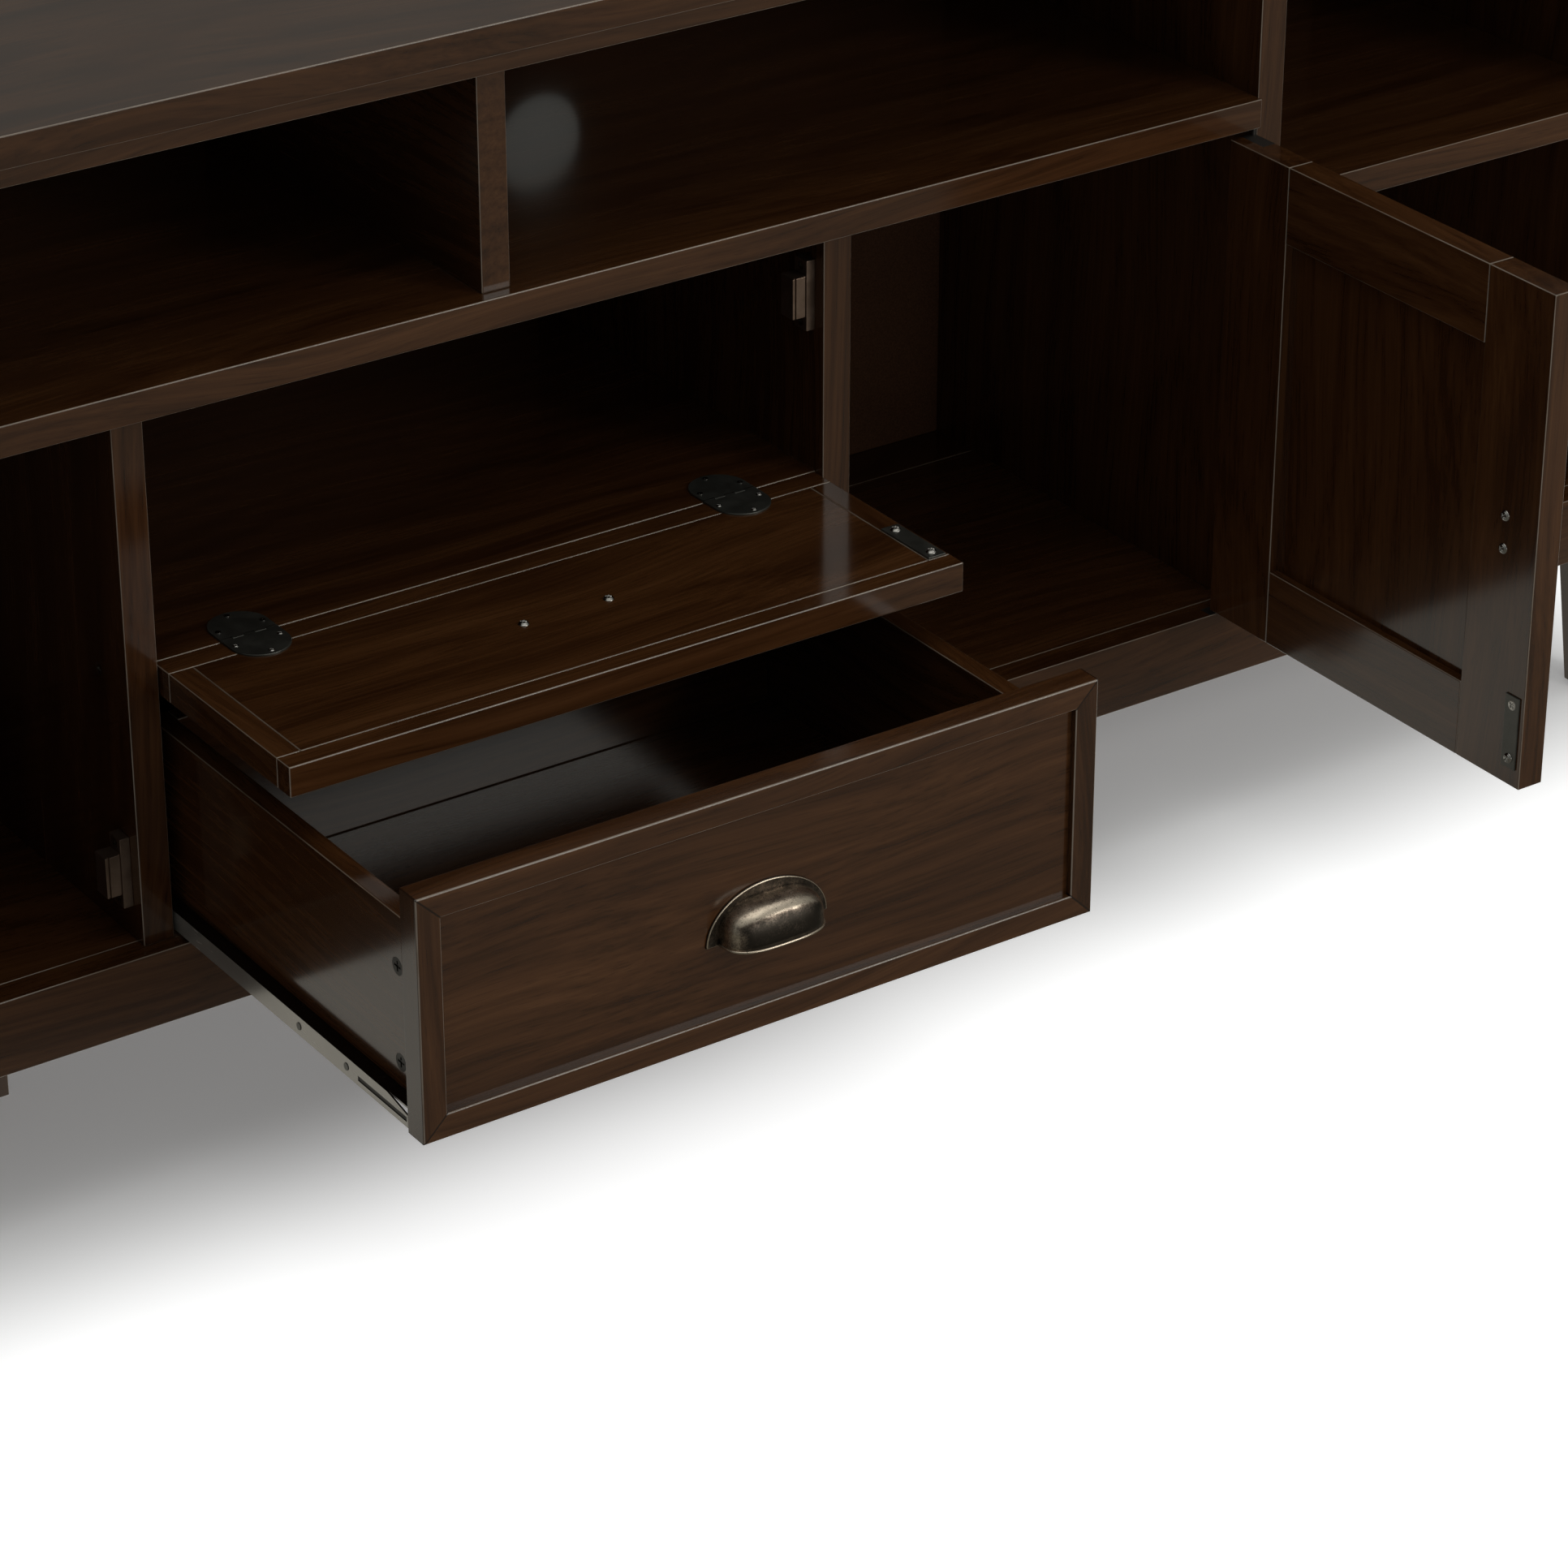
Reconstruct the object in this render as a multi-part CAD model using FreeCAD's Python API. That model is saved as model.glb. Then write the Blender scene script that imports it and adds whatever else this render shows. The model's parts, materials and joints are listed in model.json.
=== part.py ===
import FreeCAD, Part
import math
import os

V = FreeCAD.Vector
X_AXIS = V(1, 0, 0)
Y_AXIS = V(0, 1, 0)
Z_AXIS = V(0, 0, 1)

# A low media cabinet with five bays, shown open: flap down, drawer out, both doors swung out.
# X runs along the front, Y from front to back, Z up. Pieces are made with Y = 0 on the plane of the
# closed fronts and Z = 0 on the floor, then moved to the origin under the middle of the open cabinet.

# Driving dimensions in millimetres: cabinet
CENTRE_BAY = 506.0
SIDE_BAY = 337.0
END_BAY = 337.0
LOWER_TIER = 367.5
UPPER_TIER = 162.5
DEPTH = 372.0
UPRIGHT_T = 22.0
BOARD_T = 21.0
BACK_T = 5.0
BOTTOM_T = 18.0
BACK_RAIL_W = 45.0
CABLE_HOLE_R = 36.0
CABLE_HOLE_INSET = 247.5
APRON_H = 53.5
TOP_OVERHANG = 7.0
TOP_RAIL_H = 14.0
TOP_RAIL_T = 18.0
UPRIGHT_SETBACK = 4.5
DIVIDER_SETBACK = 11.5
UPPER_SETBACK = 10.0
END_SHELF_SETBACK = 9.0
END_SHELF_RISE = 312.0
EDGE_EASE = 1.0

# Driving dimensions: legs
LEG_H = 118.0
LEG_W = 36.0
LEG_TAPER = 9.0
SUPPORT_SPREAD = 329.0
SUPPORT_SETBACK = 155.0

# Driving dimensions: fronts
FRAME_W = 17.0
FLAP_RAIL_W = 19.5
FLAP_EDGE_W = 15.5
PANEL_RECESS = 5.0
FRONT_EASE = 1.4
SMALL_EASE = 0.4
HINGE_RISE = 194.0
HINGE_SETBACK = 20.0
HINGE_JOINT = 0.15
FLAP_END_GAP = 1.5
FLAP_TOP_GAP = 3.0

# Driving dimensions: drawer
DRAWER_FRONT_T = 19.5
DRAWER_END_GAP = 1.75
DRAWER_TOP_GAP = 3.0
DRAWER_FOOT_GAP = 1.0
DRAWER_BOX_L = 330.0
DRAWER_SIDE_T = 14.0
DRAWER_SIDE_H = 121.0
DRAWER_BOTTOM_T = 3.0
SLIDE_SPACE = 12.0
CAM_R = 6.0
CAM_DEPTH = 10.0
CAM_SETBACK = 22.5
CAM_MARGIN = 18.0

# Driving dimensions: drawer runners and their rollers
STEEL_T = 1.2
RUNNER_PLAY = 1.0
LIP_RISE = 3.4
LIP_H = 13.8
FLANGE_UNDER = 5.0
RUNNER_START = 3.0
TRACK_W = 10.6
TRACK_UPSTAND = 13.0
TRACK_LEG_H = 23.0
TRACK_END_GAP = 9.0
CABINET_ROLLER_R = 5.4
DRAWER_ROLLER_R = 6.2
ROLLER_W = 4.8
ROLLER_END = 8.5
ROLL_GAP = 0.15
ROLLER_SIDE_GAP = 0.45
STOP_GAP = 3.9
AXLE_R = 1.5
RUNNING_PLAY = 0.05
SLOT_L = 58.0
SLOT_H = 3.6
SLOT_RISE = 5.5
LIP_NOSE_L = 24.0
LIP_NOSE_DROP = 5.0

# Driving dimensions: doors
DOOR_GAP = 2.0
DOOR_FOOT_GAP = 1.5
DOOR_TOP_GAP = 5.0
STILE_W = 64.0
RAIL_W = 56.0
DOOR_RECESS_OUT = 5.0
DOOR_RECESS_IN = 6.5
TONGUE = 6.0
PIVOT_INSET = 2.5
PIVOT_PLATE_L = 24.0
PIVOT_PLATE_W = 11.0
PIVOT_PLATE_T = 2.0
PIVOT_PLATE_EDGE = 0.5
PIVOT_ENGAGE = 4.0

# Driving dimensions: oval flap hinges
OVAL_L = 67.0
OVAL_W = 41.0
OVAL_SPREAD = 366.0
LEAF_T = 1.2
LEAF_EASE = 0.4
KNUCKLE_R = 1.25
HINGE_PIN_R = 0.6
KNUCKLE_L = 8.0
KNUCKLE_SPREAD = 16.0
KNUCKLE_PLAY = 0.3
OVAL_TIP_SCREW = 29.0
OVAL_PAIR_SCREW_X = 16.0
OVAL_PAIR_SCREW_Y = 11.3
OVAL_HEAD_R = 1.9
OVAL_HEAD_PROUD = 0.4

# Driving dimensions: pulls
PULL_SCREWS = 64.0
CUP_FLANGE_W = 90.0
CUP_FLANGE_H = 35.0
CUP_FLANGE_T = 1.8
CUP_W = 74.0
CUP_H = 28.0
CUP_REACH = 25.0
CUP_WALL = 2.0
FLUSH_L = 84.0
FLUSH_H = 34.0
FLUSH_T = 2.0
POCKET_L = 54.0
POCKET_H = 20.0
POCKET_DEPTH = 9.0
POCKET_WALL = 1.2
POCKET_CORNER = 6.5
KNOB_PLATE_W = 22.0
KNOB_PLATE_H = 42.0
KNOB_PLATE_T = 2.5
KNOB_R = 11.0
KNOB_NECK_R = 4.5
KNOB_NECK_L = 8.0
KNOB_HEAD_L = 10.0
KNOB_SCREWS = 24.0

# Driving dimensions: catches, strike plates and screws
CATCH_L = 50.0
CATCH_W = 14.0
CATCH_BASE_T = 7.0
CATCH_BODY_L = 29.0
CATCH_REACH = 18.0
CATCH_GAP = 0.3
CATCH_SCREWS = 40.0
CATCH_HEAD_H = 2.0
CATCH_SCREW_L = 17.0
POLE_T = 1.7
POLE_GROOVE = 1.2
POLE_DEPTH = 1.5
STRIKE_L = 54.0
STRIKE_W = 14.0
STRIKE_T = 1.2
STRIKE_SCREWS = 40.0
STRIKE_INSET = 11.0
FLAP_STRIKE_MARGIN = 43.0
DOOR_STRIKE_RISE = 42.0
DOOR_CATCH_RISE = 50.0
SMALL_HEAD_R = 3.2
SMALL_SHANK_R = 1.5
SMALL_SCREW_L = 11.0
PAN_HEAD_R = 3.6
PAN_HEAD_PROUD = 1.8
PAN_SHANK_R = 1.9
SHELF_HEAD_R = 4.8
SHELF_HEAD_H = 3.0
SHELF_SHANK_R = 3.4
SHELF_SCREW_L = 50.0
SHELF_SCREW_MARGIN = 49.0
SCREW_FIT = 0.05
CROSS_DEPTH = 0.7
CROSS_ARM = 0.6
CROSS_SLOT = 0.13
RIVET_R = 2.6
RIVET_PROUD = 0.4

# Levels and planes worked out from the driving dimensions
half_centre = CENTRE_BAY / 2
divider_x = half_centre + UPRIGHT_T
upright_x = divider_x + SIDE_BAY
upright_outer = upright_x + UPRIGHT_T
side_x = upright_outer + END_BAY
side_outer = side_x + UPRIGHT_T
apron_x = side_outer - BOARD_T
rear_y = DEPTH + BACK_T
back_rail_y = DEPTH - BACK_RAIL_W
bay_z = LEG_H + APRON_H
base_z = bay_z - BOTTOM_T
mid_z = bay_z + LOWER_TIER
mid_top = mid_z + BOARD_T
top_z = mid_top + UPPER_TIER
hinge_z = bay_z + HINGE_RISE
shelf_z = hinge_z - BOARD_T
flap_length = mid_z - FLAP_TOP_GAP - hinge_z
flap_width = CENTRE_BAY - 2 * FLAP_END_GAP
flap_strike_reach = flap_length + HINGE_JOINT - FLAP_STRIKE_MARGIN
door_width = SIDE_BAY - 2 * DOOR_GAP
door_hinge_x = upright_x - DOOR_GAP
door_free_x = divider_x + DOOR_GAP
door_z = bay_z + DOOR_FOOT_GAP
door_top = mid_z - DOOR_TOP_GAP
pivot = V(door_hinge_x - PIVOT_INSET, PIVOT_INSET, 0)

pieces = {}


def add(name, *solids):
    """Put solids in a named node."""
    pieces.setdefault(name, []).extend(solids)


def carve(name, *tools):
    """Cut tools out of every solid of a node."""
    cut = [solid.cut(list(tools)) for solid in pieces[name]]
    pieces[name] = [solid for shape in cut for solid in shape.Solids]


def mirrored(shape):
    """The same shape on the other side of the cabinet's centre."""
    return shape.mirror(V(0, 0, 0), X_AXIS)


def placed(shape, point, rotation):
    """A copy turned about the origin and then set at a point."""
    copy = shape.copy()
    copy.Placement = FreeCAD.Placement(point, rotation)
    return copy


def facing(direction):
    """The turn that takes local Z to a direction, with local X kept level where it can be."""
    return FreeCAD.Rotation(Z_AXIS, direction)


def block(x0, x1, y0, y1, z0, z1):
    """A sharp-edged box between two corners."""
    return Part.makeBox(x1 - x0, y1 - y0, z1 - z0, V(x0, y0, z0))


def eased(solid, radius):
    """A solid with all its edges softened."""
    return solid.makeFillet(radius, solid.Edges)


def eased_along(solid, axis, radius):
    """A solid with only the edges that run along an axis softened."""
    long_edges = [edge for edge in solid.Edges if abs(edge.tangentAt(edge.FirstParameter).dot(axis)) > 0.999]
    return solid.makeFillet(radius, long_edges)


def board(x0, x1, y0, y1, z0, z1):
    """A board with softened edges."""
    return eased(block(x0, x1, y0, y1, z0, z1), EDGE_EASE)


def prism(points, height):
    """A closed outline extruded along Z."""
    outline = Part.makePolygon(points + points[:1])
    return Part.Face(outline).extrude(V(0, 0, height))


def rod(radius, start, end):
    """A round bar between two points."""
    along = end - start
    return Part.makeCylinder(radius, along.Length, start, along)


def screw(head_r, head_h, shank_r, length, proud=0.0):
    """A cross-head screw driven along -Z into the plane Z = 0, and the hole it fills."""
    head = Part.makeCylinder(head_r, head_h, V(0, 0, proud - head_h))
    hole = Part.makeCylinder(head_r + SCREW_FIT, head_h, V(0, 0, proud - head_h))
    if length > head_h:
        shank_l = length - head_h + proud
        head = head.fuse(Part.makeCylinder(shank_r, shank_l, V(0, 0, -length)))
        hole = hole.fuse(Part.makeCylinder(shank_r + SCREW_FIT, shank_l, V(0, 0, -length)))
    arm = head_r * CROSS_ARM
    slot = head_r * CROSS_SLOT
    bottom = proud - CROSS_DEPTH
    across = block(-arm, arm, -slot, slot, bottom, proud)
    along = block(-slot, slot, -arm, arm, bottom, proud)
    return head.removeSplitter().cut([across, along]), hole


def drive(node, hosts, fastener, point, outward):
    """Set a screw at a point with its head facing outward, and bore its hosts."""
    solid, hole = fastener
    add(node, placed(solid, point, facing(outward)))
    tool = placed(hole, point, facing(outward))
    for host in hosts:
        carve(host, tool)


def mitred_front(width, height, thickness):
    """A framed front lying on XY from Y = 0 up, back at Z = 0: panel, rails and stiles."""
    w = width / 2
    m = FRAME_W
    rail = prism([V(-w, 0, 0), V(w, 0, 0), V(w - m, m, 0), V(m - w, m, 0)], thickness)
    far_rail = rail.mirror(V(0, height / 2, 0), Y_AXIS)
    stile = prism([V(-w, 0, 0), V(m - w, m, 0), V(m - w, height - m, 0), V(-w, height, 0)], thickness)
    rails = [eased_along(solid, X_AXIS, FRONT_EASE) for solid in (rail, far_rail)]
    stiles = [eased_along(solid, Y_AXIS, FRONT_EASE) for solid in (stile, mirrored(stile))]
    panel = block(m - w, w - m, m, height - m, 0, thickness - PANEL_RECESS)
    return panel, rails, stiles


def butted_front(width, height, thickness):
    """The same front with its rails run through and its stiles butted between them."""
    w = width / 2
    free = height - FLAP_EDGE_W
    rails = [board(-w, w, 0, FLAP_RAIL_W, 0, thickness), board(-w, w, free, height, 0, thickness)]
    stile = board(-w, FRAME_W - w, FLAP_RAIL_W, free, 0, thickness)
    panel = board(FRAME_W - w, w - FRAME_W, FLAP_RAIL_W, free, 0, thickness - PANEL_RECESS)
    return panel, rails, [stile, mirrored(stile)]


def stadium(length, width, height):
    """A plate with round ends, long side along Y, centred on the origin."""
    r = width / 2
    s = length / 2 - r
    tip = Part.Arc(V(r, s, 0), V(0, s + r, 0), V(-r, s, 0)).toShape()
    tail = Part.Arc(V(-r, -s, 0), V(0, -s - r, 0), V(r, -s, 0)).toShape()
    left = Part.makeLine(V(-r, s, 0), V(-r, -s, 0))
    right = Part.makeLine(V(r, -s, 0), V(r, s, 0))
    return Part.Face(Part.Wire([tip, left, tail, right])).extrude(V(0, 0, height))


def ellipsoid(a, b, c):
    """A ball stretched to three half axes."""
    stretch = FreeCAD.Matrix()
    stretch.scale(a, b, c)
    return Part.makeSphere(1.0).transformGeometry(stretch)


def build_cabinet():
    """Boards of the fixed cabinet."""
    reach = side_outer + TOP_OVERHANG
    add("top_panel", board(-reach, reach, -TOP_OVERHANG, rear_y, top_z, top_z + BOARD_T))
    rail_z = top_z - TOP_RAIL_H
    add("top_front_rail", board(-side_x, side_x, 0, TOP_RAIL_T, rail_z, top_z))
    notch = block(-side_x, side_x, -BOARD_T, TOP_RAIL_T, rail_z, top_z + BOARD_T)

    side = board(side_x, side_outer, UPRIGHT_SETBACK, rear_y, bay_z, top_z)
    upright = board(upright_x, upright_outer, UPRIGHT_SETBACK, DEPTH, bay_z, top_z)
    divider = board(half_centre, divider_x, DIVIDER_SETBACK, DEPTH, bay_z, mid_z)
    shelf_top = bay_z + END_SHELF_RISE
    end_shelf = board(upright_outer, side_x, END_SHELF_SETBACK, DEPTH, shelf_top - BOARD_T, shelf_top)
    sided = {"side_panel": side, "upright": upright.cut(notch), "divider": divider, "end_shelf": end_shelf}
    for name, solid in sided.items():
        add("right_" + name, solid)
        add("left_" + name, mirrored(solid))

    add("mid_shelf", board(-upright_x, upright_x, 0, DEPTH, mid_z, mid_top))
    upper = board(-BOARD_T / 2, BOARD_T / 2, UPPER_SETBACK, DEPTH, mid_top, top_z)
    add("upper_divider", upper.cut(notch))
    shelf_front = HINGE_SETBACK + HINGE_JOINT
    add("centre_shelf", board(-half_centre, half_centre, shelf_front, DEPTH, shelf_z, hinge_z))
    hole_x = BOARD_T / 2 + CABLE_HOLE_INSET
    hole_z = (mid_top + rail_z) / 2
    hole = rod(CABLE_HOLE_R, V(hole_x, DEPTH - BACK_T, hole_z), V(hole_x, rear_y + BACK_T, hole_z))
    back = board(-side_x, side_x, DEPTH, rear_y, bay_z, top_z)
    add("back_panel", back.cut([hole, mirrored(hole)]))


def build_base():
    """Aprons, bottom boards and legs."""
    add("front_apron", board(-side_outer, side_outer, 0, BOARD_T, LEG_H, bay_z))
    end_apron = board(apron_x, side_outer, BOARD_T, rear_y, LEG_H, bay_z)
    add("end_aprons", mirrored(end_apron), end_apron)
    add("back_apron", board(-apron_x, apron_x, rear_y - BOARD_T, rear_y, LEG_H, base_z))
    add("bottom_panel", board(-apron_x, apron_x, BOARD_T, back_rail_y, base_z, bay_z))
    add("bottom_back_rail", board(-apron_x, apron_x, back_rail_y, rear_y, base_z, bay_z))

    # A corner leg narrows to its foot on the two faces that look into the cabinet
    foot = LEG_W - LEG_TAPER
    profile = [V(0, 0, 0), V(-foot, 0, 0), V(-LEG_W, LEG_H, 0), V(0, LEG_H, 0)]
    slab = prism(profile, LEG_W)
    stand_up = FreeCAD.Rotation(X_AXIS, 90)
    across = placed(slab, V(0, LEG_W, 0), stand_up)
    along = placed(slab, V(0, 0, 0), FreeCAD.Rotation(Z_AXIS, -90).multiply(stand_up))
    leg = eased(across.common(along), EDGE_EASE)
    front_leg = placed(leg, V(side_outer, 0, 0), FreeCAD.Rotation())
    back_leg = front_leg.mirror(V(0, rear_y / 2, 0), Y_AXIS)
    inner_x = SUPPORT_SPREAD - LEG_W / 2
    support = board(inner_x, inner_x + LEG_W, SUPPORT_SETBACK, SUPPORT_SETBACK + LEG_W, 0, base_z)
    for solid in (front_leg, back_leg, support):
        add("legs", mirrored(solid), solid)


def catch_body():
    """A magnetic catch on a wall in the plane Z = 0, its length along Y and its front edge at X = 0."""
    half = CATCH_BODY_L / 2
    base = block(0, CATCH_W, -CATCH_L / 2, CATCH_L / 2, 0, CATCH_BASE_T)
    body = block(0, CATCH_W, -half, half, 0, CATCH_REACH)
    solid = eased(base.fuse(body).removeSplitter(), SMALL_EASE)
    # Two upright grooves part the magnet from its pole plates
    outer = CATCH_REACH - POLE_T - POLE_GROOVE
    grooves = [block(0, POLE_DEPTH, -half, half, low, low + POLE_GROOVE) for low in (CATCH_BASE_T, outer)]
    return solid.cut(grooves)


def set_catch(divider, wall_x, outward, front_y, middle_z):
    """A catch and its two screws on a divider's face."""
    turn = FreeCAD.Rotation(Y_AXIS, Z_AXIS * outward, X_AXIS * outward, "ZXY")
    add("magnetic_catches", placed(catch_body(), V(wall_x, front_y, middle_z), turn))
    fastener = screw(SMALL_HEAD_R, CATCH_HEAD_H, SMALL_SHANK_R, CATCH_SCREW_L)
    for shift in (-CATCH_SCREWS / 2, CATCH_SCREWS / 2):
        at = V(wall_x + outward * CATCH_BASE_T, front_y + CATCH_W / 2, middle_z + shift)
        drive("carcass_screws", (divider, "magnetic_catches"), fastener, at, X_AXIS * outward)


def build_catches():
    """Catches for the flap and for both doors."""
    flap_front = HINGE_SETBACK + STRIKE_T + CATCH_GAP
    set_catch("right_divider", half_centre, -1, flap_front, hinge_z + flap_strike_reach)
    door_front = BOARD_T + STRIKE_T + CATCH_GAP
    set_catch("right_divider", divider_x, 1, door_front, bay_z + DOOR_CATCH_RISE)
    set_catch("left_divider", -divider_x, -1, door_front, bay_z + DOOR_CATCH_RISE)


def build_shelf_screws():
    """Long screws through the dividers into the ends of the centre shelf."""
    fastener = screw(SHELF_HEAD_R, SHELF_HEAD_H, SHELF_SHANK_R, SHELF_SCREW_L)
    middle = hinge_z - BOARD_T / 2
    for y in (SHELF_SCREW_MARGIN, DEPTH - SHELF_SCREW_MARGIN):
        for side, host in ((1, "right_divider"), (-1, "left_divider")):
            at = V(side * divider_x, y, middle)
            drive("shelf_screws", (host, "centre_shelf"), fastener, at, X_AXIS * side)


# Runner levels shared by the cabinet's half, the drawer's half and the rollers
track_start = BOARD_T + RUNNER_START
track_x = half_centre - TRACK_W
lip_x = half_centre - STEEL_T - RUNNER_PLAY
lip_z = bay_z + LIP_RISE
runner_top = lip_z + LIP_H
box_back = DRAWER_FRONT_T + DRAWER_BOX_L
drawer_wall = half_centre - SLIDE_SPACE
drawer_inner = drawer_wall - DRAWER_SIDE_T
roller_x0 = track_x + STEEL_T + ROLLER_SIDE_GAP
cabinet_axle = V(track_x + STEEL_T, track_start + CABINET_ROLLER_R + ROLL_GAP,
                 runner_top - STEEL_T - ROLL_GAP - CABINET_ROLLER_R)
drawer_axle = V(lip_x - STEEL_T, box_back - ROLLER_END, bay_z + STEEL_T + ROLL_GAP + DRAWER_ROLLER_R)
drawer_travel = drawer_axle.y - cabinet_axle.y - CABINET_ROLLER_R - DRAWER_ROLLER_R - STOP_GAP


def roller(radius, axle):
    """A roller in the runner's track, bored to turn on its axle."""
    start = V(roller_x0, axle.y, axle.z)
    end = start + X_AXIS * ROLLER_W
    return eased(rod(radius, start, end), SMALL_EASE).cut(rod(AXLE_R + RUNNING_PLAY, start, end))


def build_runners():
    """Cabinet and drawer halves of the runners, with a roller on each."""
    track_end = DEPTH - TRACK_END_GAP
    leg = block(half_centre - STEEL_T, half_centre, track_start, track_end, bay_z, bay_z + TRACK_LEG_H)
    web = block(track_x, half_centre, track_start, track_end, bay_z, bay_z + STEEL_T)
    upstand = block(track_x, track_x + STEEL_T, track_start, track_end, bay_z, bay_z + TRACK_UPSTAND)
    front_axle = rod(AXLE_R, cabinet_axle, cabinet_axle + X_AXIS * (ROLLER_W + ROLLER_SIDE_GAP))
    track = leg.fuse([web, upstand, front_axle]).removeSplitter()
    add("cabinet_runners", mirrored(track), track)

    fastener = screw(SMALL_HEAD_R, STEEL_T, SMALL_SHANK_R, SMALL_SCREW_L)
    screw_z = (runner_top + bay_z + TRACK_LEG_H) / 2
    ends = (track_start + SHELF_SCREW_MARGIN, track_end - SHELF_SCREW_MARGIN)
    for y in ends:
        for side, host in ((1, "right_divider"), (-1, "left_divider")):
            at = V(side * (half_centre - STEEL_T), y, screw_z)
            drive("carcass_screws", (host, "cabinet_runners"), fastener, at, X_AXIS * -side)

    lip = block(lip_x - STEEL_T, lip_x, DRAWER_FRONT_T, box_back, lip_z, runner_top)
    flange_x = drawer_inner - FLANGE_UNDER
    flange = block(flange_x, lip_x, DRAWER_FRONT_T, box_back, runner_top - STEEL_T, runner_top)
    rear_axle = rod(AXLE_R, drawer_axle, V(roller_x0 - ROLL_GAP, drawer_axle.y, drawer_axle.z))
    runner = lip.fuse([flange, rear_axle]).removeSplitter()

    # The lip has a long slot behind the drawer front, below a nose that slopes down
    slot_z = lip_z + SLOT_RISE
    slot_y = DRAWER_FRONT_T + STEEL_T
    slot = block(lip_x - 2 * STEEL_T, lip_x + STEEL_T, slot_y, slot_y + SLOT_L,
                 slot_z - SLOT_H / 2, slot_z + SLOT_H / 2)
    nose = [V(0, 0, 0), V(LIP_NOSE_L, 0, 0), V(0, -LIP_NOSE_DROP, 0)]
    turn = FreeCAD.Rotation(Y_AXIS, Z_AXIS, X_AXIS, "ZXY")
    nose_cut = placed(prism(nose, STEEL_T), V(lip_x - STEEL_T, DRAWER_FRONT_T, runner_top), turn)
    runner = runner.cut([slot, nose_cut])
    add("drawer_runners", mirrored(runner), runner)

    # Two rivets through the lip, a slot's length apart
    rivet_y = slot_y + SLOT_L + LIP_H
    for y in (rivet_y, rivet_y + SLOT_L):
        middle = V(lip_x - STEEL_T, y, lip_z + LIP_H / 2)
        rivet = rod(RIVET_R, middle, middle + X_AXIS * (STEEL_T + RIVET_PROUD))
        hole = rod(RIVET_R + SCREW_FIT, middle, middle + X_AXIS * STEEL_T)
        add("drawer_screws", mirrored(rivet), rivet)
        carve("drawer_runners", mirrored(hole), hole)

    for name, radius, axle in (("cabinet_rollers", CABINET_ROLLER_R, cabinet_axle),
                               ("drawer_rollers", DRAWER_ROLLER_R, drawer_axle)):
        wheel = roller(radius, axle)
        add(name, mirrored(wheel), wheel)


def build_drawer():
    """The drawer in its closed place."""
    front_z = bay_z + DRAWER_FOOT_GAP
    height = shelf_z - DRAWER_TOP_GAP - front_z
    width = CENTRE_BAY - 2 * DRAWER_END_GAP
    panel, rails, stiles = mitred_front(width, height, DRAWER_FRONT_T)
    upright = FreeCAD.Rotation(X_AXIS, 90)
    at = V(0, DRAWER_FRONT_T, front_z)
    add("drawer_panel", placed(panel, at, upright))
    add("drawer_rails", *[placed(solid, at, upright) for solid in rails])
    add("drawer_stiles", *[placed(solid, at, upright) for solid in stiles])

    side_top = runner_top + DRAWER_SIDE_H
    side = board(drawer_inner, drawer_wall, DRAWER_FRONT_T, box_back, runner_top, side_top)
    add("drawer_right_side", side)
    add("drawer_left_side", mirrored(side))
    floor_top = runner_top + DRAWER_BOTTOM_T
    back_y = box_back - DRAWER_SIDE_T
    add("drawer_back", board(-drawer_inner, drawer_inner, back_y, box_back, floor_top, side_top))
    add("drawer_bottom", block(-drawer_inner, drawer_inner, DRAWER_FRONT_T, box_back, runner_top, floor_top))

    cam = screw(CAM_R, CAM_DEPTH, SMALL_SHANK_R, 0)
    for z in (runner_top + CAM_MARGIN, side_top - 2 * CAM_MARGIN):
        for turn, name in ((1, "drawer_right_side"), (-1, "drawer_left_side")):
            at = V(turn * drawer_wall, DRAWER_FRONT_T + CAM_SETBACK, z)
            drive("drawer_cams", (name,), cam, at, X_AXIS * turn)

    middle = front_z + height / 2
    pull_at = V(0, PANEL_RECESS, middle - CUP_FLANGE_H / 2)
    add("drawer_pull", placed(cup_pull(), pull_at, upright))
    fastener = screw(PAN_HEAD_R, PAN_HEAD_PROUD, PAN_SHANK_R, DRAWER_FRONT_T - PANEL_RECESS, PAN_HEAD_PROUD)
    for x in (-PULL_SCREWS / 2, PULL_SCREWS / 2):
        at = V(x, DRAWER_FRONT_T, pull_at.z + CUP_FLANGE_H / 4)
        drive("drawer_screws", ("drawer_panel",), fastener, at, Y_AXIS)


def cup_pull():
    """A half-round cup on an arched flange; straight edge along X, arch up Y, bulging along Z."""
    arch = Part.Ellipse(V(0, 0, 0), CUP_FLANGE_W / 2, CUP_FLANGE_H)
    edge = Part.Arc(arch, 0, math.pi).toShape()
    chord = Part.makeLine(V(-CUP_FLANGE_W / 2, 0, 0), V(CUP_FLANGE_W / 2, 0, 0))
    flange = Part.Face(Part.Wire([edge, chord])).extrude(V(0, 0, CUP_FLANGE_T))
    cup = ellipsoid(CUP_W / 2, CUP_H, CUP_REACH)
    hollow = ellipsoid(CUP_W / 2 - CUP_WALL, CUP_H - CUP_WALL, CUP_REACH - CUP_WALL)
    quarter = block(-CUP_W, CUP_W, 0, 2 * CUP_H, 0, 2 * CUP_REACH)
    shell = cup.common(quarter)
    return flange.fuse(shell).cut(hollow).removeSplitter()


def rounded_block(length, width, low, high, corner):
    """A box centred on Z with its four upright edges rounded."""
    solid = block(-length / 2, length / 2, -width / 2, width / 2, low, high)
    upright = [edge for edge in solid.Edges if edge.BoundBox.ZLength > (high - low) / 2]
    return solid.makeFillet(corner, upright)


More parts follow.
